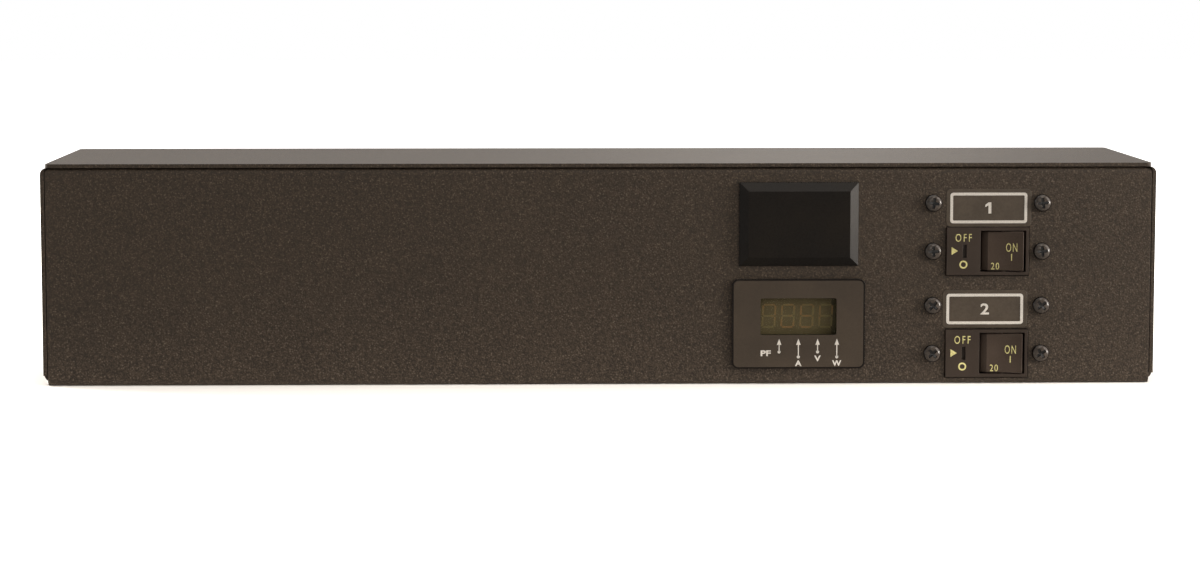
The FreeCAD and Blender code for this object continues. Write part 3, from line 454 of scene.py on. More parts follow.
# The third colour is the painted shade low on the heads.
nickel = screw_finish("nickel_screw", paint(56, 49, 42), paint(76, 68, 60), paint(16, 13, 11),
                      roughness=0.12, metallic=1.0, mirror=0.2)
pan_form = cross_screw(radius=0.00315, rim=0.0009, cap=0.0011, shank=0.00175, length=0.006,
                       recess=(0.16, 0.6, 0.0017))
screw_reach = 0.0307
outlet_middles = [middle_of(f"{name}_face") for name in outlet_names]
outlet_spots = [(x + side * screw_reach, -half_depth, z) for x, z in outlet_middles for side in (-1, 1)]
outlet_turns = np.array([0.5, 0.2, 0.9, 1.3, 0.4, 0.75, 1.1, 0.15, 0.6, 1.0, 0.3, 0.1])
rearward = [(1, 0, 0), (0, 0, 1), (0, -1, 0)]
plated_screws = set_screws("outlet_screw_set", pan_form, outlet_spots[:-1], rearward, outlet_turns[:-1],
                           nickel)
odd_screw = set_screws("outlet_screw_end", pan_form, outlet_spots[-1:], rearward, outlet_turns[-1:],
                       black_steel_and_shade)
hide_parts("outlet_screws")


# Cable gland: a glossy black polyamide body with a hexagon, and a dome nut that squeezes plastic fingers and
# a rubber seal on to the cable. A lock nut holds it from inside.

polyamide, place = new_finish("gland_polyamide")
haze = place.noise(0.004, 3.0)
place.shade({
    "Base Color": haze.step(0.3, 0.8).mix(paint(14, 13, 12), paint(24, 22, 20)),
    "Roughness": 0.1 + haze * 0.1,
    "Specular IOR Level": 0.08,
    "Normal": place.relief(place.noise(0.0016), 0.00005, 0.0008),
})
dress(polyamide, "gland_body", "gland_locknut")

gland_middle = middle_of("gland_dome_nut")
nut_low, nut_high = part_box("gland_dome_nut")
nut_radius = (nut_high.x - nut_low.x) / 2
nut_bore, nut_chamfer, grip_length, dome_start, dome_step = 0.01305, 0.0008, 0.0075, 0.0080, 0.0004
lip_round, mouth_radius, mouth_round, mouth_depth = 0.0042, 0.0112, 0.0006, 0.0050
throat_radius, throat_length, shoulder = 0.0088, 0.0010, 0.0013
dome_radius = nut_radius - dome_step
lip_y = nut_low.y
nut_profile = [
    (nut_radius - nut_chamfer, nut_high.y),
    (nut_radius, nut_high.y - nut_chamfer),
    (nut_radius, nut_high.y - grip_length),
    (dome_radius, nut_high.y - dome_start),
    *arc((dome_radius - lip_round, lip_y + lip_round), lip_round, 0, -90, 12),
    *arc((mouth_radius + mouth_round, lip_y + mouth_round), mouth_round, -90, -150, 5),
    (throat_radius, lip_y + mouth_depth),
    (throat_radius, lip_y + mouth_depth + throat_length),
    (nut_bore, lip_y + mouth_depth + shoulder),
    (nut_bore, nut_high.y),
]
dome_nut = add_piece("gland_dome", *turned(nut_profile, gland_middle, 120), polyamide)
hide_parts("gland_dome_nut")


def clamp_fingers(front_y, length, narrow, wide, count):
    """A cone of fingers that closes on the cable: r = narrow + (wide - narrow) t and y = front + length t,
    outside and a little further in, with t from 0 at the tips to 1. Between two fingers t starts at 0.6."""
    run = np.array([0.0, 0.15, 0.6, 1.0, 1.0, 0.6, 0.15, 0.0])[:, None]
    inset = np.array([0.0001, 0.0, 0.0, 0.0, 0.0005, 0.0004, 0.0002, 0.0002])[:, None]
    turn = np.linspace(0, 2 * np.pi, count * 16, endpoint=False)[None, :]
    t = np.maximum(run, 0.6 * (np.cos(turn * count) > 0.9))
    r = narrow + (wide - narrow) * t - inset
    points = spun(r, front_y + length * t, turn, gland_middle)
    return points, grid_quads(*t.shape, wrap_rows=True, wrap_columns=True)


finger_form = clamp_fingers(front_y=lip_y + 0.0012, length=0.0045, narrow=0.00797, wide=0.0095, count=12)
fingers = add_piece("gland_fingers", *finger_form, polyamide)

seal_rubber, place = new_finish("seal_rubber")
bloom = place.noise(0.002, 3.0)
place.shade({
    "Base Color": bloom.mix(paint(24, 23, 22), paint(44, 42, 40)),
    "Roughness": 0.6 + bloom * 0.2,
    "Normal": place.relief(bloom, 0.00005, 0.0003),
})
dress(seal_rubber, "gland_seal")


# Supply cable: cut square just outside the gland. A brown-black rubber jacket round a paper-filled bundle of
# a green, a white and a black conductor, each stranded copper in coloured insulation.

jacket_finish, place = new_finish("cable_jacket")
rib = place.node("ShaderNodeMapping", {}, {"Vector": place, "Scale": (1, 0.06, 1)}).noise(0.0007)
chalk = place.noise(0.005, 4.0)
place.shade({
    "Base Color": (chalk * 0.6 + rib * 0.4).step(0.3, 0.75).mix(paint(20, 18, 16), paint(40, 36, 32)),
    "Roughness": 0.42 + chalk * 0.25,
    "Specular IOR Level": 0.2,
    "Normal": place.relief(rib * 0.6 + chalk * 0.4, 0.00012, 0.0004),
})
jacket_low, jacket_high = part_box("cable_jacket")
cable_radius = (jacket_high.x - jacket_low.x) / 2
bundle_radius, jacket_round, cut_bevel, cut_dip = 0.0062, 0.0005, 0.0004, 0.0003
cut_y = jacket_low.y
jacket_profile = [
    (bundle_radius, jacket_high.y),
    (cable_radius, jacket_high.y),
    (cable_radius, lip_y),
    *arc((cable_radius - jacket_round, cut_y + jacket_round), jacket_round, 0, -90, 5),
    (bundle_radius + cut_bevel, cut_y),
    (bundle_radius, cut_y + cut_dip),
]
jacket = add_piece("cable_stub", *turned(jacket_profile, gland_middle, 72), jacket_finish)
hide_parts("cable_jacket")

filler_finish, place = new_finish("cable_filler")
fibre = place.noise(0.0006, 4.0)
place.shade({
    "Base Color": fibre.step(0.35, 0.7).mix(paint(36, 32, 26), paint(66, 59, 47)),
    "Roughness": 0.8 + fibre * 0.1,
    "Normal": place.relief(fibre, 0.0002, 0.0002),
})
filler_middle, filler_edge, filler_foot = cut_y + 0.0006, cut_y + 0.0004, cut_y + 0.003
filler_profile = [(0.0, filler_middle), (bundle_radius, filler_edge), (bundle_radius, filler_foot),
                  (0.0, filler_foot)]
filler_form = turned(filler_profile, gland_middle, 48, closed=False)
filler = add_piece("cable_filler", *filler_form, filler_finish)


def insulation_finish(name, dark, light):
    """Extruded wire insulation: even colour with faint run marks and a soft shine."""
    material, place = new_finish(name)
    run = place.node("ShaderNodeMapping", {}, {"Vector": place, "Scale": (1, 0.05, 1)}).noise(0.0006)
    place.shade({
        "Base Color": run.step(0.3, 0.7).mix(dark, light),
        "Roughness": 0.35 + run * 0.15,
        "Normal": place.relief(run, 0.00003, 0.0002),
    })
    return material


green_insulation = insulation_finish("green_insulation", paint(48, 112, 70), paint(78, 146, 98))
white_insulation = insulation_finish("white_insulation", paint(206, 200, 188), paint(236, 231, 220))
black_insulation = insulation_finish("black_insulation", paint(24, 22, 21), paint(44, 41, 39))
dress(green_insulation, "conductor_green", "earth_leads")
dress(white_insulation, "conductor_white")
dress(black_insulation, "conductor_black", "circuit_1_leads", "circuit_2_leads")

strands, place = new_finish("copper_strands")
wires = place.node("ShaderNodeTexVoronoi", {}, {"Vector": place, "Scale": 1 / 0.0006, "Randomness": 0.4},
                   "Distance")
place.shade({
    "Base Color": wires.step(0.3, 0.62).mix(paint(248, 178, 130), paint(132, 72, 46)),
    "Metallic": 0.4,
    "Roughness": 0.3 + wires * 0.3,
    "Normal": place.relief(1 - wires, 0.0003, 0.0001),
})
dress(strands, "conductor_cores")


# Earth stud, terminals and line bars inside the box: a zinc-plated steel stud with its nut on the end wall,
# terminals stamped from brass on the breakers' backs, and line bars cut from flat copper.

dress(zinc, "earth_stud", "earth_nut")
dress(brass, "breaker_terminals")
dress(copper, "line_bars")


# Blank cover of the spare meter cut-out: one moulding of black plastic, a low frustum with a fine matt face
# and plain bevels. A tub behind it snaps into the panel.

def moulded_finish(name, dark, light, roughness, mirror, grain):
    """Moulded black plastic: slight cloudiness and a fine even grain of a given size."""
    material, place = new_finish(name)
    cloud = place.noise(0.018, 3.0)
    texture = place.noise(grain)
    place.shade({
        "Base Color": (cloud * 0.6 + texture * 0.4).step(0.3, 0.75).mix(dark, light),
        "Roughness": roughness + texture * 0.12,
        "Specular IOR Level": mirror,
        "Normal": place.relief(texture, 0.00003, 0.0003),
    })
    return material


cover_black = moulded_finish("blank_cover_black", paint(11, 8, 6), paint(19, 15, 10), 0.22, 0.06, 0.0003)
dress(cover_black, "blank_cover")


# Power meter: a moulded black front plate under a grey overlay film with screen-printed arrows and unit
# letters. A four-digit display lies behind a tinted pane in the plate's recessed window, and the plate's
# tub goes through the panel to the circuit board and the rear case.

bezel_black = moulded_finish("meter_bezel_black", paint(13, 10, 8), paint(20, 16, 13), 0.28, 0.06, 0.0004)
dress(bezel_black, "meter_bezel", "meter_case")

pane_finish, place = new_finish("meter_pane_tint")
dust = place.noise(0.0012, 3.0)
place.shade({
    "Base Color": dust.mix(paint(66, 60, 36), paint(82, 75, 48)),
    "Roughness": 0.34 + dust * 0.12,
    "Specular IOR Level": 0.1,
    "Alpha": 0.2,
})
dress(pane_finish, "meter_pane")

block_low, block_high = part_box("meter_display")
display_finish, place = new_finish("display_block")
film = place.noise(0.003, 2.0)
end_fade, end_full = 0.0019, 0.0017
# Painted shade: the display darkens over its last 2 mm towards low X, the right end as seen from the breaker
# side.
painted_shade_end = (place.axis("X") - block_low.x).step(end_fade, end_full)
place.shade({
    "Base Color": painted_shade_end.mix(film.mix(paint(66, 59, 44), paint(85, 77, 59)), paint(22, 20, 18)),
    "Roughness": 0.5 + film * 0.2,
    "Specular IOR Level": 0.1,
    "Normal": place.relief(film, 0.00002, 0.0002),
})
dress(display_finish, "meter_display")
board_finish, place = new_finish("circuit_board")
resist = place.noise(0.002, 3.0)
place.shade({
    "Base Color": resist.step(0.45, 0.55).mix(paint(22, 74, 44), paint(40, 104, 62)),
    "Roughness": 0.35 + resist * 0.2,
    "Normal": place.relief(resist, 0.00003, 0.0002),
})
dress(board_finish, "meter_board")


def laid(flat, side, lift):
    """Points (u, v) as seen on a side of the box, u to the right and v up, at a height over its panel.
    side is +1 for the breaker side and -1 for the outlet side."""
    u, v = np.asarray(flat, float).T
    return np.column_stack([-side * u, np.full(len(u), side * (half_depth + lift)), v])


def seen_box(node):
    """Middle and size of a node as seen on the breaker side, u to the right and v up."""
    low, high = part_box(node)
    return np.array([-low.x - high.x, low.z + high.z]) / 2, np.array([high.x - low.x, high.z - low.z])


def strip(path, width):
    """A straight bar from one point to another as a flat quad."""
    a, b = np.array(path, float)
    along = (b - a) / np.linalg.norm(b - a)
    out = np.array([-along[1], along[0]]) * width / 2
    return np.array([a - out, b - out, b + out, a + out])


def disc(centre, radius, steps=24):
    """A flat disc's outline: centre + radius (cos a, sin a)."""
    angle = np.linspace(0, 2 * np.pi, steps, endpoint=False)
    return np.array(centre) + radius * np.column_stack([np.cos(angle), np.sin(angle)])


def ring_quads(outer, inner):
    """The band between two outlines of as many points, as quads."""
    return list(np.stack([outer, np.roll(outer, -1, axis=0), np.roll(inner, -1, axis=0), inner], axis=1))


def rounded_outline(centre, size, radius, steps=6):
    """A rectangle with rounded corners, counter-clockwise from the right: each corner is a quarter circle
    about (width / 2 - radius, height / 2 - radius) in its own quadrant."""
    turn = np.radians(np.arange(4)[:, None] * 90 + np.linspace(0, 90, steps)).ravel()
    quadrant = np.repeat([(1, 1), (-1, 1), (-1, -1), (1, -1)], steps, axis=0)
    inner = np.array(size) / 2 - radius
    return np.array(centre) + quadrant * inner + radius * np.column_stack([np.cos(turn), np.sin(turn)])


def letters(text, centre, size, weight=0.0, spacing=1.0):
    """A plain word as a mesh, stretched to a width and height about a centre: its points (u, v) and faces.
    weight thickens its strokes, and spacing over 1 sets its letters apart, so that they get narrower."""
    curve = bpy.data.curves.new("word", "FONT")
    curve.body = text
    curve.offset = weight
    curve.space_character = spacing
    curve.resolution_u = 4
    word = new_object("word", curve)
    bpy.context.view_layer.update()
    mesh = bpy.data.meshes.new_from_object(word.evaluated_get(bpy.context.evaluated_depsgraph_get()))
    flat = np.array([vertex.co[:2] for vertex in mesh.vertices])
    low, high = flat.min(0), flat.max(0)
    faces = [list(polygon.vertices) for polygon in mesh.polygons]
    bpy.data.objects.remove(word)
    bpy.data.curves.remove(curve)
    bpy.data.meshes.remove(mesh)
    return (flat - (low + high) / 2) / (high - low) * np.array(size) + np.array(centre), faces


def add_print(name, shapes, side, lift, material):
    """Flat shapes as one print: points (u, v) with faces, or an outline counter-clockwise as seen."""
    shapes = [shape if isinstance(shape, tuple) else (shape, [range(len(shape))]) for shape in shapes]
    flats = [flat for flat, _ in shapes]
    starts = np.cumsum([0] + [len(flat) for flat in flats])
    faces = [[corner + start for corner in face]
             for (_, part), start in zip(shapes, starts) for face in part]
    return add_piece(name, laid(np.concatenate(flats), side, lift), faces, material, sheet=True)


def ink_finish(name, thin, full):
    """Screen-printed ink: a little uneven, as it lies on the grain below."""
    material, place = new_finish(name)
    cover = place.noise(0.0005, 3.0)
    place.shade({
        "Base Color": cover.step(0.3, 0.6).mix(thin, full),
        "Roughness": 0.5 + cover * 0.15,
        "Specular IOR Level": 0.2,
        "Normal": place.relief(cover, 0.00002, 0.0001),
    })
    return material


white_ink = ink_finish("white_ink", paint(164, 160, 154), paint(184, 180, 174))
overlay_grey = moulded_finish("meter_overlay_grey", paint(42, 35, 28), paint(54, 46, 37), 0.42, 0.16, 0.0004)
print_lift = 0.00005
overlay_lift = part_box("meter_bezel")[1].y - half_depth + print_lift
plate_lift = overlay_lift + print_lift
plate_mid, plate_size = seen_box("meter_bezel")
window_mid, window_size = seen_box("meter_pane")
overlay_inset, overlay_round, window_inset, window_round = 0.00065, 0.0019, 0.0010, 0.0008
overlay_rim = rounded_outline(plate_mid, plate_size - 2 * overlay_inset, overlay_round)
overlay_mouth = rounded_outline(window_mid, window_size - 2 * window_inset, window_round)
overlay = add_print("meter_overlay", ring_quads(overlay_rim, overlay_mouth), 1, overlay_lift, overlay_grey)
tip_drop, arrow_pitch, short_tail, long_tail = 0.0059, 0.0076, 0.0052, 0.0072
head_half, head_length, stem_top, stem_width, dot_radius = 0.0009, 0.0024, 0.0022, 0.0004, 0.0006
arrows = []
for index, tail in enumerate((short_tail, long_tail, short_tail, long_tail)):
    tip = plate_mid + (arrow_pitch * (index - 1), -tip_drop)
    dot = tip - (0.0, tail)
    head = tip - np.array([(head_half, head_length), (-head_half, head_length), (0.0, 0.0)])
    arrows += [head, strip([dot, tip - (0.0, stem_top)], stem_width), disc(dot, dot_radius)]
meter_arrows = add_print("meter_arrows", arrows, 1, plate_lift, white_ink)
unit_height, unit_weight = 0.0023, 0.03
unit_places = [("PF", -0.0129, -0.0116, 0.0040), ("A", 0.0, -0.0156, 0.0026),
               ("V", 0.0076, -0.0137, 0.0026), ("W", 0.0152, -0.0156, 0.0036)]
units = [letters(unit, plate_mid + (u, v), (width, unit_height), unit_weight)
         for unit, u, v, width in unit_places]
meter_units = add_print("meter_units", units, 1, plate_lift, white_ink)

segment_finish, place = new_finish("display_segments")
glow = place.noise(0.004)
place.shade({
    "Base Color": glow.step(0.35, 0.65).mix(paint(101, 93, 65), paint(121, 89, 59)),
    "Roughness": 0.4 + glow * 0.1,
    "Specular IOR Level": 0.1,
})
digit_width, digit_height, digit_slant, digit_pitch, first_digit = 0.0048, 0.0088, 0.05, 0.0075, -0.0115
segment_width, segment_share = 0.0007, 0.86
flat_bars = [((-1, level), (1, level)) for level in (-1, 0, 1)]
upright_bars = [((side, level), (side, level + 1)) for level in (-1, 0) for side in (-1, 1)]
display_mid = seen_box("meter_display")[0]
segments = []
for index in range(4):
    digit_mid = display_mid + (first_digit + digit_pitch * index, 0.0)
    for bar in flat_bars + upright_bars:
        ends = np.array(bar) * (digit_width / 2, digit_height / 2)
        ends[:, 0] += ends[:, 1] * digit_slant
        ends = ends.mean(0) + (ends - ends.mean(0)) * segment_share + digit_mid
        segments.append(strip(ends, segment_width))
digit_lift = block_high.y - half_depth + print_lift
display_digits = add_print("display_digits", segments, 1, digit_lift, segment_finish)


# Breakers: two moulded black two-pole breakers, each held behind the panel by four blackened screws. The
# collar comes through the panel, and a rocker with a finger hollow turns on moulded trunnions in the
# collar's well. Legends are printed in yellow.

case_black = moulded_finish("breaker_black", paint(36, 29, 24), paint(47, 39, 33), 0.4, 0.12, 0.00035)
for number in (1, 2):
    dress(case_black, f"breaker_{number}_case", f"breaker_{number}_second_pole")

rocker_half, rocker_tall, rocker_rise, rocker_hollow = 0.0083, 0.0156, 0.0020, 0.0005
rocker_depth, rocker_lean, rocker_tilt, edge_round = 0.0030, 0.0009, math.radians(9), 0.00035
bevel_length, bevel_drop = 0.0026, 0.0010
hollow_middle = -bevel_length / 2
hollow_half = rocker_half - bevel_length / 2
web_half, web_drop = 0.0018, 0.0035
pins_radius, pins_reach = 0.0012, 0.0088


def turned_off(along, out, up, pivot):
    """Rocker points, along its face, out of it and up, turned to the OFF side about the pivot."""
    cos, sin = math.cos(-rocker_tilt), math.sin(-rocker_tilt)
    x = pivot[0] + along * cos - out * sin
    y = pivot[1] + along * sin + out * cos
    return np.stack([x, y, pivot[2] + up], -1)


def rocker_face(along):
    """Height of the rocker's face: rise - hollow (1 - t^2) with t from -1 to 1 along the hollow, and a
    straight fall past it on the OFF end's bevel."""
    t = (along - hollow_middle) / hollow_half
    bevel = np.maximum(along - (rocker_half - bevel_length), 0) * bevel_drop / bevel_length
    return rocker_rise - rocker_hollow * np.maximum(1 - t ** 2, 0) - bevel


def rocker_paddle(pivot):
    """The rocker's section, a closed loop of its hollow face, rounded ends, leaning sides and foot, carried
    up its height, pulled in by the edge rounding at both end layers and closed there."""
    turn = np.radians(np.linspace(90, 0, 10))[1:]
    round_end = np.column_stack([np.cos(turn), np.sin(turn)]) * edge_round
    off_edge = round_end + (rocker_half - edge_round, rocker_rise - bevel_drop - edge_round)
    on_edge = round_end[::-1] * (-1, 1) + (-rocker_half + edge_round, rocker_rise - edge_round)
    face = np.concatenate([np.linspace(-rocker_half + edge_round, rocker_half - bevel_length, 21),
                           np.linspace(rocker_half - bevel_length, rocker_half - edge_round, 5)[1:]])
    foot, belly = rocker_half - rocker_lean, -rocker_depth
    below = np.array([(foot, belly), (web_half, belly), (web_half, belly - web_drop)])
    face_line = np.column_stack([face, rocker_face(face)])
    loop = np.concatenate([face_line, off_edge, below, below[::-1] * (-1, 1), on_edge])
    middle = edge_round * 0.3
    lower = np.array([(-1, 0.0, edge_round), (-1, middle, middle), (-1, edge_round, 0.0)])
    layers = np.concatenate([lower, lower[::-1] * (-1, 1, 1)])
    up = layers[:, 0] * (rocker_tall / 2 - layers[:, 1])
    along = loop[None, :, 0] * (1 - layers[:, 2, None] / rocker_half)
    out = loop[None, :, 1] - layers[:, 2, None] * (loop[None, :, 1] > 0)
    points = turned_off(along, out, np.broadcast_to(up[:, None], along.shape), pivot).reshape(-1, 3)
    count = len(loop)
    caps = [list(range(count))[::-1], list(range((len(layers) - 1) * count, len(layers) * count))]
    return points, [*grid_quads(len(layers), count, wrap_columns=True).tolist(), *caps]


def rocker_pins(pivot):
    """The two trunnions: one round bar through the paddle, along Z."""
    angle = np.linspace(0, 2 * np.pi, 20, endpoint=False)
    half = np.array([(0.0, -pins_reach), (pins_radius, -pins_reach)])
    levels = np.concatenate([half, half[::-1] * (1, -1)])
    along = levels[:, :1] * np.cos(angle)
    out = levels[:, :1] * np.sin(angle)
    points = turned_off(along, out, np.broadcast_to(levels[:, 1:], along.shape), pivot).reshape(-1, 3)
    return points, grid_quads(len(levels), len(angle), wrap_columns=True)


rocker_black = moulded_finish("rocker_black", paint(49, 41, 36), paint(64, 55, 48), 0.34, 0.06, 0.0003)
yellow_ink = ink_finish("yellow_ink", paint(149, 142, 91), paint(185, 179, 125))
pivots = {joint["child"]: joint["pos_m"] for joint in frame["joints"]}
ink_lift = 0.00004


def add_rocker_print(name, flat, faces, body):
    """A print that follows the rocker's hollow face, just over it; u runs to the right from the pivot."""
    u, v = flat.T
    points = turned_off(-u, rocker_face(-u) + ink_lift, v, pivots[body])
    add_piece(name, points, faces, yellow_ink, body, sheet=True)


on_u, mark_foot, mark_top, mark_width = 0.0036, -0.0037, -0.0010, 0.0004
rocker_prints = {
    "on": letters("ON", (on_u, 0.0015), (0.0044, 0.0034), spacing=1.25),
    "rating": letters("20", (-0.0028, -0.0059), (0.0032, 0.0027), spacing=1.2),
    "on_mark": (strip([(on_u, mark_foot), (on_u, mark_top)], mark_width), [range(4)]),
}
collar_shift, off_place, ring_place = 0.0061, (-0.0096, 0.0054), (-0.0096, -0.0052)
off_size, off_spacing, ring_outer, ring_inner = (0.0064, 0.0031), 1.4, 0.0016, 0.0010
pointer = np.array([(-0.0143, -0.0014), (-0.0118, 0.0002), (-0.0143, 0.0017)])
for number in (1, 2):
    body = f"rocker_{number}"
    pivot = pivots[body]
    paddle = add_piece(f"breaker_{number}_paddle", *rocker_paddle(pivot), rocker_black, body, crease=14)
    pins = add_piece(f"breaker_{number}_pins", *rocker_pins(pivot), rocker_black, body)
    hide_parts(f"breaker_{number}_rocker")
    for part, (flat, faces) in rocker_prints.items():
        add_rocker_print(f"breaker_{number}_{part}", flat, faces, body)

    collar = np.array([-pivot[0] - collar_shift, pivot[2]])
    collar_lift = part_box(f"breaker_{number}_case")[1].y - half_depth + print_lift
    off_text = letters("OFF", collar + off_place, off_size, spacing=off_spacing)
    off_word = add_print(f"breaker_{number}_off", [off_text], 1, collar_lift, yellow_ink)
    ring_mid = collar + ring_place
    marks = [pointer + collar, *ring_quads(disc(ring_mid, ring_outer), disc(ring_mid, ring_inner))]
    off_marks = add_print(f"breaker_{number}_off_marks", marks, 1, collar_lift, yellow_ink)

breaker_x = middle_of("breaker_1_case")[0]
half_span, pole_pitch = 0.0215, 0.01905
breaker_spots = [(breaker_x + side * half_span, half_depth, pivots[body][2] + pole)
                 for body in ("rocker_1", "rocker_2") for pole in (0.0, pole_pitch) for side in (-1, 1)]
breaker_turns = np.array([0.1, 0.05, 0.12, 1.45, 0.6, 0.75, 0.7, 0.85])
breaker_form = cross_screw(radius=0.0034, rim=0.00104, cap=0.00126, shank=0.00175, length=0.0097,
                           recess=(0.15, 0.58, 0.0016))
frontward = [(-1, 0, 0), (0, 0, 1), (0, 1, 0)]
breaker_screws = set_screws("breaker_screw_set", breaker_form, breaker_spots, frontward, breaker_turns,
                            black_steel_and_shade)
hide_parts("breaker_screws")


# Circuit labels: die-cut dark vinyl, stuck on, with a printed off-white frame and the circuit's plain
# number. Two are over the breakers and four are beside the outlets they belong to.

vinyl_thick, top_share, film_gap = 0.00012, 0.995, 0.00001


def add_plate(name, outline, side, material):
    """A thin film on a panel: the outline at the panel, a slightly smaller one on top, walls and faces."""
    top = outline.mean(0) + (outline - outline.mean(0)) * top_share
    points = np.concatenate([laid(outline, side, film_gap), laid(top, side, vinyl_thick)])
    count = len(outline)
    faces = [*grid_quads(2, count, wrap_columns=True).tolist(), list(range(count))[::-1],
             list(range(count, 2 * count))]
    return add_piece(name, points, faces, material)


def drawn_box(centre, size, line, rounds):
    """A printed line round a rectangle, with its outer and its inner corner radius."""
    inner = rounded_outline(centre, np.array(size) - 2 * line, rounds[1])
    return ring_quads(rounded_outline(centre, size, rounds[0]), inner)


def figure_one(centre, height):
    """A plain figure 1 as outlines: an upright bar, and a flag that slants down from its top to the left."""
    bar = strip([(0.1, -0.5), (0.1, 0.5)], 0.26)
    flag = np.array([(-0.03, 0.5), (-0.31, 0.28), (-0.31, 0.07), (-0.03, 0.24)])
    return [np.array(centre) + outline * height for outline in (bar, flag)]


vinyl, place = new_finish("label_vinyl")
ripple = place.noise(0.006, 3.0)
tooth = place.noise(0.0009, 2.0)
place.shade({
    "Base Color": (ripple * 0.6 + tooth * 0.4).step(0.3, 0.7).mix(paint(47, 40, 32), paint(59, 51, 42)),
    "Roughness": 0.42 + ripple * 0.12,
    "Specular IOR Level": 0.2,
    "Normal": place.relief(tooth * 0.6 + ripple * 0.4, 0.00006, 0.0002),
})
label_size, frame_size = (0.0336, 0.0150), (0.0304, 0.0121)
figure_size, figure_weight = (0.0034, 0.0044), 0.02
label_round, frame_rounds, frame_line = 0.0018, (0.0012, 0.0004), 0.0011
label_lift = vinyl_thick + print_lift
breaker_u = -breaker_x
circuit_labels = [
    ("1", 1, (breaker_u + 0.0003, pivots["rocker_1"][2] + 0.0171)),
    ("2", 1, (breaker_u - 0.0008, pivots["rocker_2"][2] + 0.0176)),
    ("2", -1, (-0.0108, 0.0743)),
    ("2", -1, (0.1154, 0.0746)),
    ("1", -1, (-0.0749, 0.0125)),
    ("1", -1, (0.0521, 0.0113)),
]
for index, (digit, side, centre) in enumerate(circuit_labels, 1):
    label_rim = rounded_outline(centre, label_size, label_round)
    label = add_plate(f"circuit_label_{index}", label_rim, side, vinyl)
    frame_lines = drawn_box(centre, frame_size, frame_line, frame_rounds)
    border = add_print(f"circuit_frame_{index}", frame_lines, side, label_lift, white_ink)
    if digit == "1":
        shapes = figure_one(centre, figure_size[1])
    else:
        shapes = [letters(digit, centre, figure_size, figure_weight)]
    figure = add_print(f"circuit_number_{index}", shapes, side, label_lift, white_ink)


# Write-on sticker beside the plug: a die-cut white film, stuck on, with a frame, a red band and ruled fields
# screen-printed on it.

film_white, place = new_finish("sticker_white")
scuff = place.noise(0.003, 4.0)
place.shade({
    "Base Color": scuff.step(0.2, 0.8).mix(paint(216, 210, 198), paint(228, 222, 211)),
    "Roughness": 0.38 + scuff * 0.15,
    "Normal": place.relief(scuff, 0.00003, 0.0002),
})
red_ink = ink_finish("red_ink", paint(160, 50, 38), paint(178, 60, 46))
dark_ink = ink_finish("dark_ink", paint(44, 38, 34), paint(60, 53, 48))
sticker_low, sticker_high = np.array((-0.1715, 0.0512)), np.array((-0.1356, 0.0763))
sticker_mid, sticker_size = (sticker_low + sticker_high) / 2, sticker_high - sticker_low
sticker_round, band_round, line_rounds = 0.0003, 0.0001, (0.0002, 0.0001)
sticker_rim = rounded_outline(sticker_mid, sticker_size, sticker_round)
sticker = add_plate("sticker_film", sticker_rim, -1, film_white)

edge_margin, band_drop, band_rise, band_inset, band_height = 0.0022, 0.0083, 0.0033, 0.0010, 0.0062
edge_size = sticker_size - edge_margin
band_foot = sticker_high[1] - band_drop
band_mid = (sticker_mid[0], band_foot + band_rise)
band_rim = rounded_outline(band_mid, (edge_size[0] - band_inset, band_height), band_round)
sticker_band = add_print("sticker_band", [band_rim], -1, label_lift, red_ink)

rule_inset, rule_width, edge_line, field_line = 0.0013, 0.0005, 0.0004, 0.00025
rule_ends = [(sticker_low[0] + rule_inset, band_foot), (sticker_high[0] - rule_inset, band_foot)]
line_start, line_end, line_width = sticker_low[0] + 0.0040, sticker_mid[0] + 0.0025, 0.0004
line_levels = sticker_low[1] + np.array([0.0040, 0.0080, 0.0120])
field_mid, field_size = (sticker_high[0] - 0.0085, sticker_low[1] + 0.0088), (0.0092, 0.0104)
rules = [strip(rule_ends, rule_width), *drawn_box(sticker_mid, edge_size, edge_line, line_rounds)]
rules += [strip([(line_start, level), (line_end, level)], line_width) for level in line_levels]
rules += drawn_box(field_mid, field_size, field_line, line_rounds)
sticker_rules = add_print("sticker_rules", rules, -1, label_lift, dark_ink)


# Studio: a paper floor that goes white away from the box, soft boxes over and beside it, and a long lens on
# the breaker side. The camera, mirrors and glass show white air and paper. Matt faces see a dim room and,
# close to the box, a bright strip of floor that lights it from below like a white card.

def shown_rays(value):
    """1 on rays that show the background: the camera's own, and those that are mirrored or let through."""
    kinds = ("Is Camera Ray", "Is Glossy Ray", "Is Transmission Ray")
    from_camera, mirrored, let_through = [value.node("ShaderNodeLightPath", {}, {}, kind) for kind in kinds]
    return from_camera + mirrored + let_through


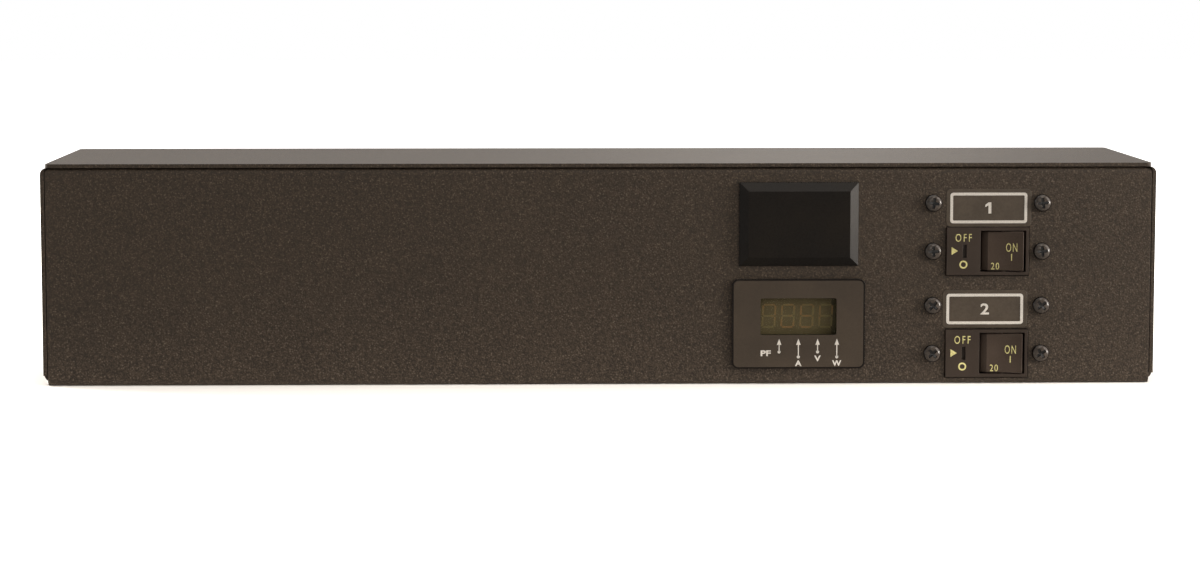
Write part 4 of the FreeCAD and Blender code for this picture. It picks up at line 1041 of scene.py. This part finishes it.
floor_half, floor_level = 4.0, -0.0001
floor_points = [(x, y, floor_level) for y in (-floor_half, floor_half) for x in (-floor_half, floor_half)]
floor_mesh = bpy.data.meshes.new("studio_floor")
floor_mesh.from_pydata(floor_points, [], grid_quads(2, 2).tolist())
floor = new_object("studio_floor", floor_mesh)
paper, place = new_finish("studio_paper")
lamp_colour = (1.0, 0.93, 0.85)
white_start, white_full, card_reach = 0.20, 0.42, 0.075
dim_grey, half_white = (0.03, 0.03, 0.03, 1.0), (0.5, 0.5, 0.5, 1.0)
seen = shown_rays(place)
away = place.distance((0.0, 0.0, 0.0)).step(white_start, white_full)
card = abs(place.axis("Y")).step(half_depth + card_reach, half_depth) * (1 - seen)
bounce = card.mix(paint(0, 0, 0), (*lamp_colour, 1.0))
place.shade({
    "Base Color": seen.mix(paint(90, 87, 84), paint(246, 246, 246)),
    "Roughness": 0.95,
    "Specular IOR Level": 0.0,
    "Emission Color": (seen * away).mix(bounce, half_white),
    "Emission Strength": 2.0,
})
floor_mesh.materials.append(paper)

world = bpy.data.worlds.new("studio_air")
bpy.context.scene.world = world
world.use_nodes = True
air = shown_rays(Value(world.node_tree, None))
air.feed(world.node_tree.nodes["Background"], {
    "Color": air.mix(dim_grey, paint(255, 255, 255)),
    "Strength": 1.0,
})


def soft_box(name, place, target, size, watts):
    """A rectangular lamp at a place, facing a target."""
    lamp = bpy.data.lights.new(name, "AREA")
    lamp.shape = "RECTANGLE"
    lamp.size, lamp.size_y = size
    lamp.energy = watts
    lamp.color = lamp_colour
    box = new_object(name, lamp)
    back = np.subtract(place, target)
    distance = np.linalg.norm(back)
    box.location = place
    box.rotation_euler = (math.acos(back[2] / distance), 0.0, math.atan2(back[0], -back[1]))


panel_lamps = (
    ("key", (-1.05, 0.60, 0.72), (0.7, 0.7), 13),
    ("side", (-1.26, 0.41, 0.15), (0.36, 0.28), 19),
    ("fill", (-0.20, 0.75, 1.20), (0.4, 0.4), 4.4),
    ("glint", (0.20, 1.25, 0.55), (0.2, 0.2), 1.5),
)
for side, way in (("breaker", 1), ("outlet", -1)):
    for role, (x, y, z), size, watts in panel_lamps:
        soft_box(f"{side}_{role}", (x * way, y * way, z), (0.0, 0.05 * way, 0.04), size, watts)
soft_box("overhead", (0.0, 0.0, 1.2), (0.0, 0.0, 0.08), (1.4, 0.7), 10.4)
for side, way in (("left", 1), ("right", -1)):
    soft_box(f"end_{side}", (1.30 * way, 0.0, 0.30), (0.2 * way, 0.0, 0.04), (0.5, 0.5), 4)

camera_data = bpy.data.cameras.new("studio_camera")
camera_data.sensor_width = 36.0
camera_data.lens = 93.5
camera = new_object("studio_camera", camera_data)
camera.location = (0.030, half_depth + 1.220, 0.166)
camera.rotation_euler = (math.radians(84.1), 0.0, math.radians(178.6))
bpy.context.scene.camera = camera
bpy.context.scene.view_settings.view_transform = "Standard"
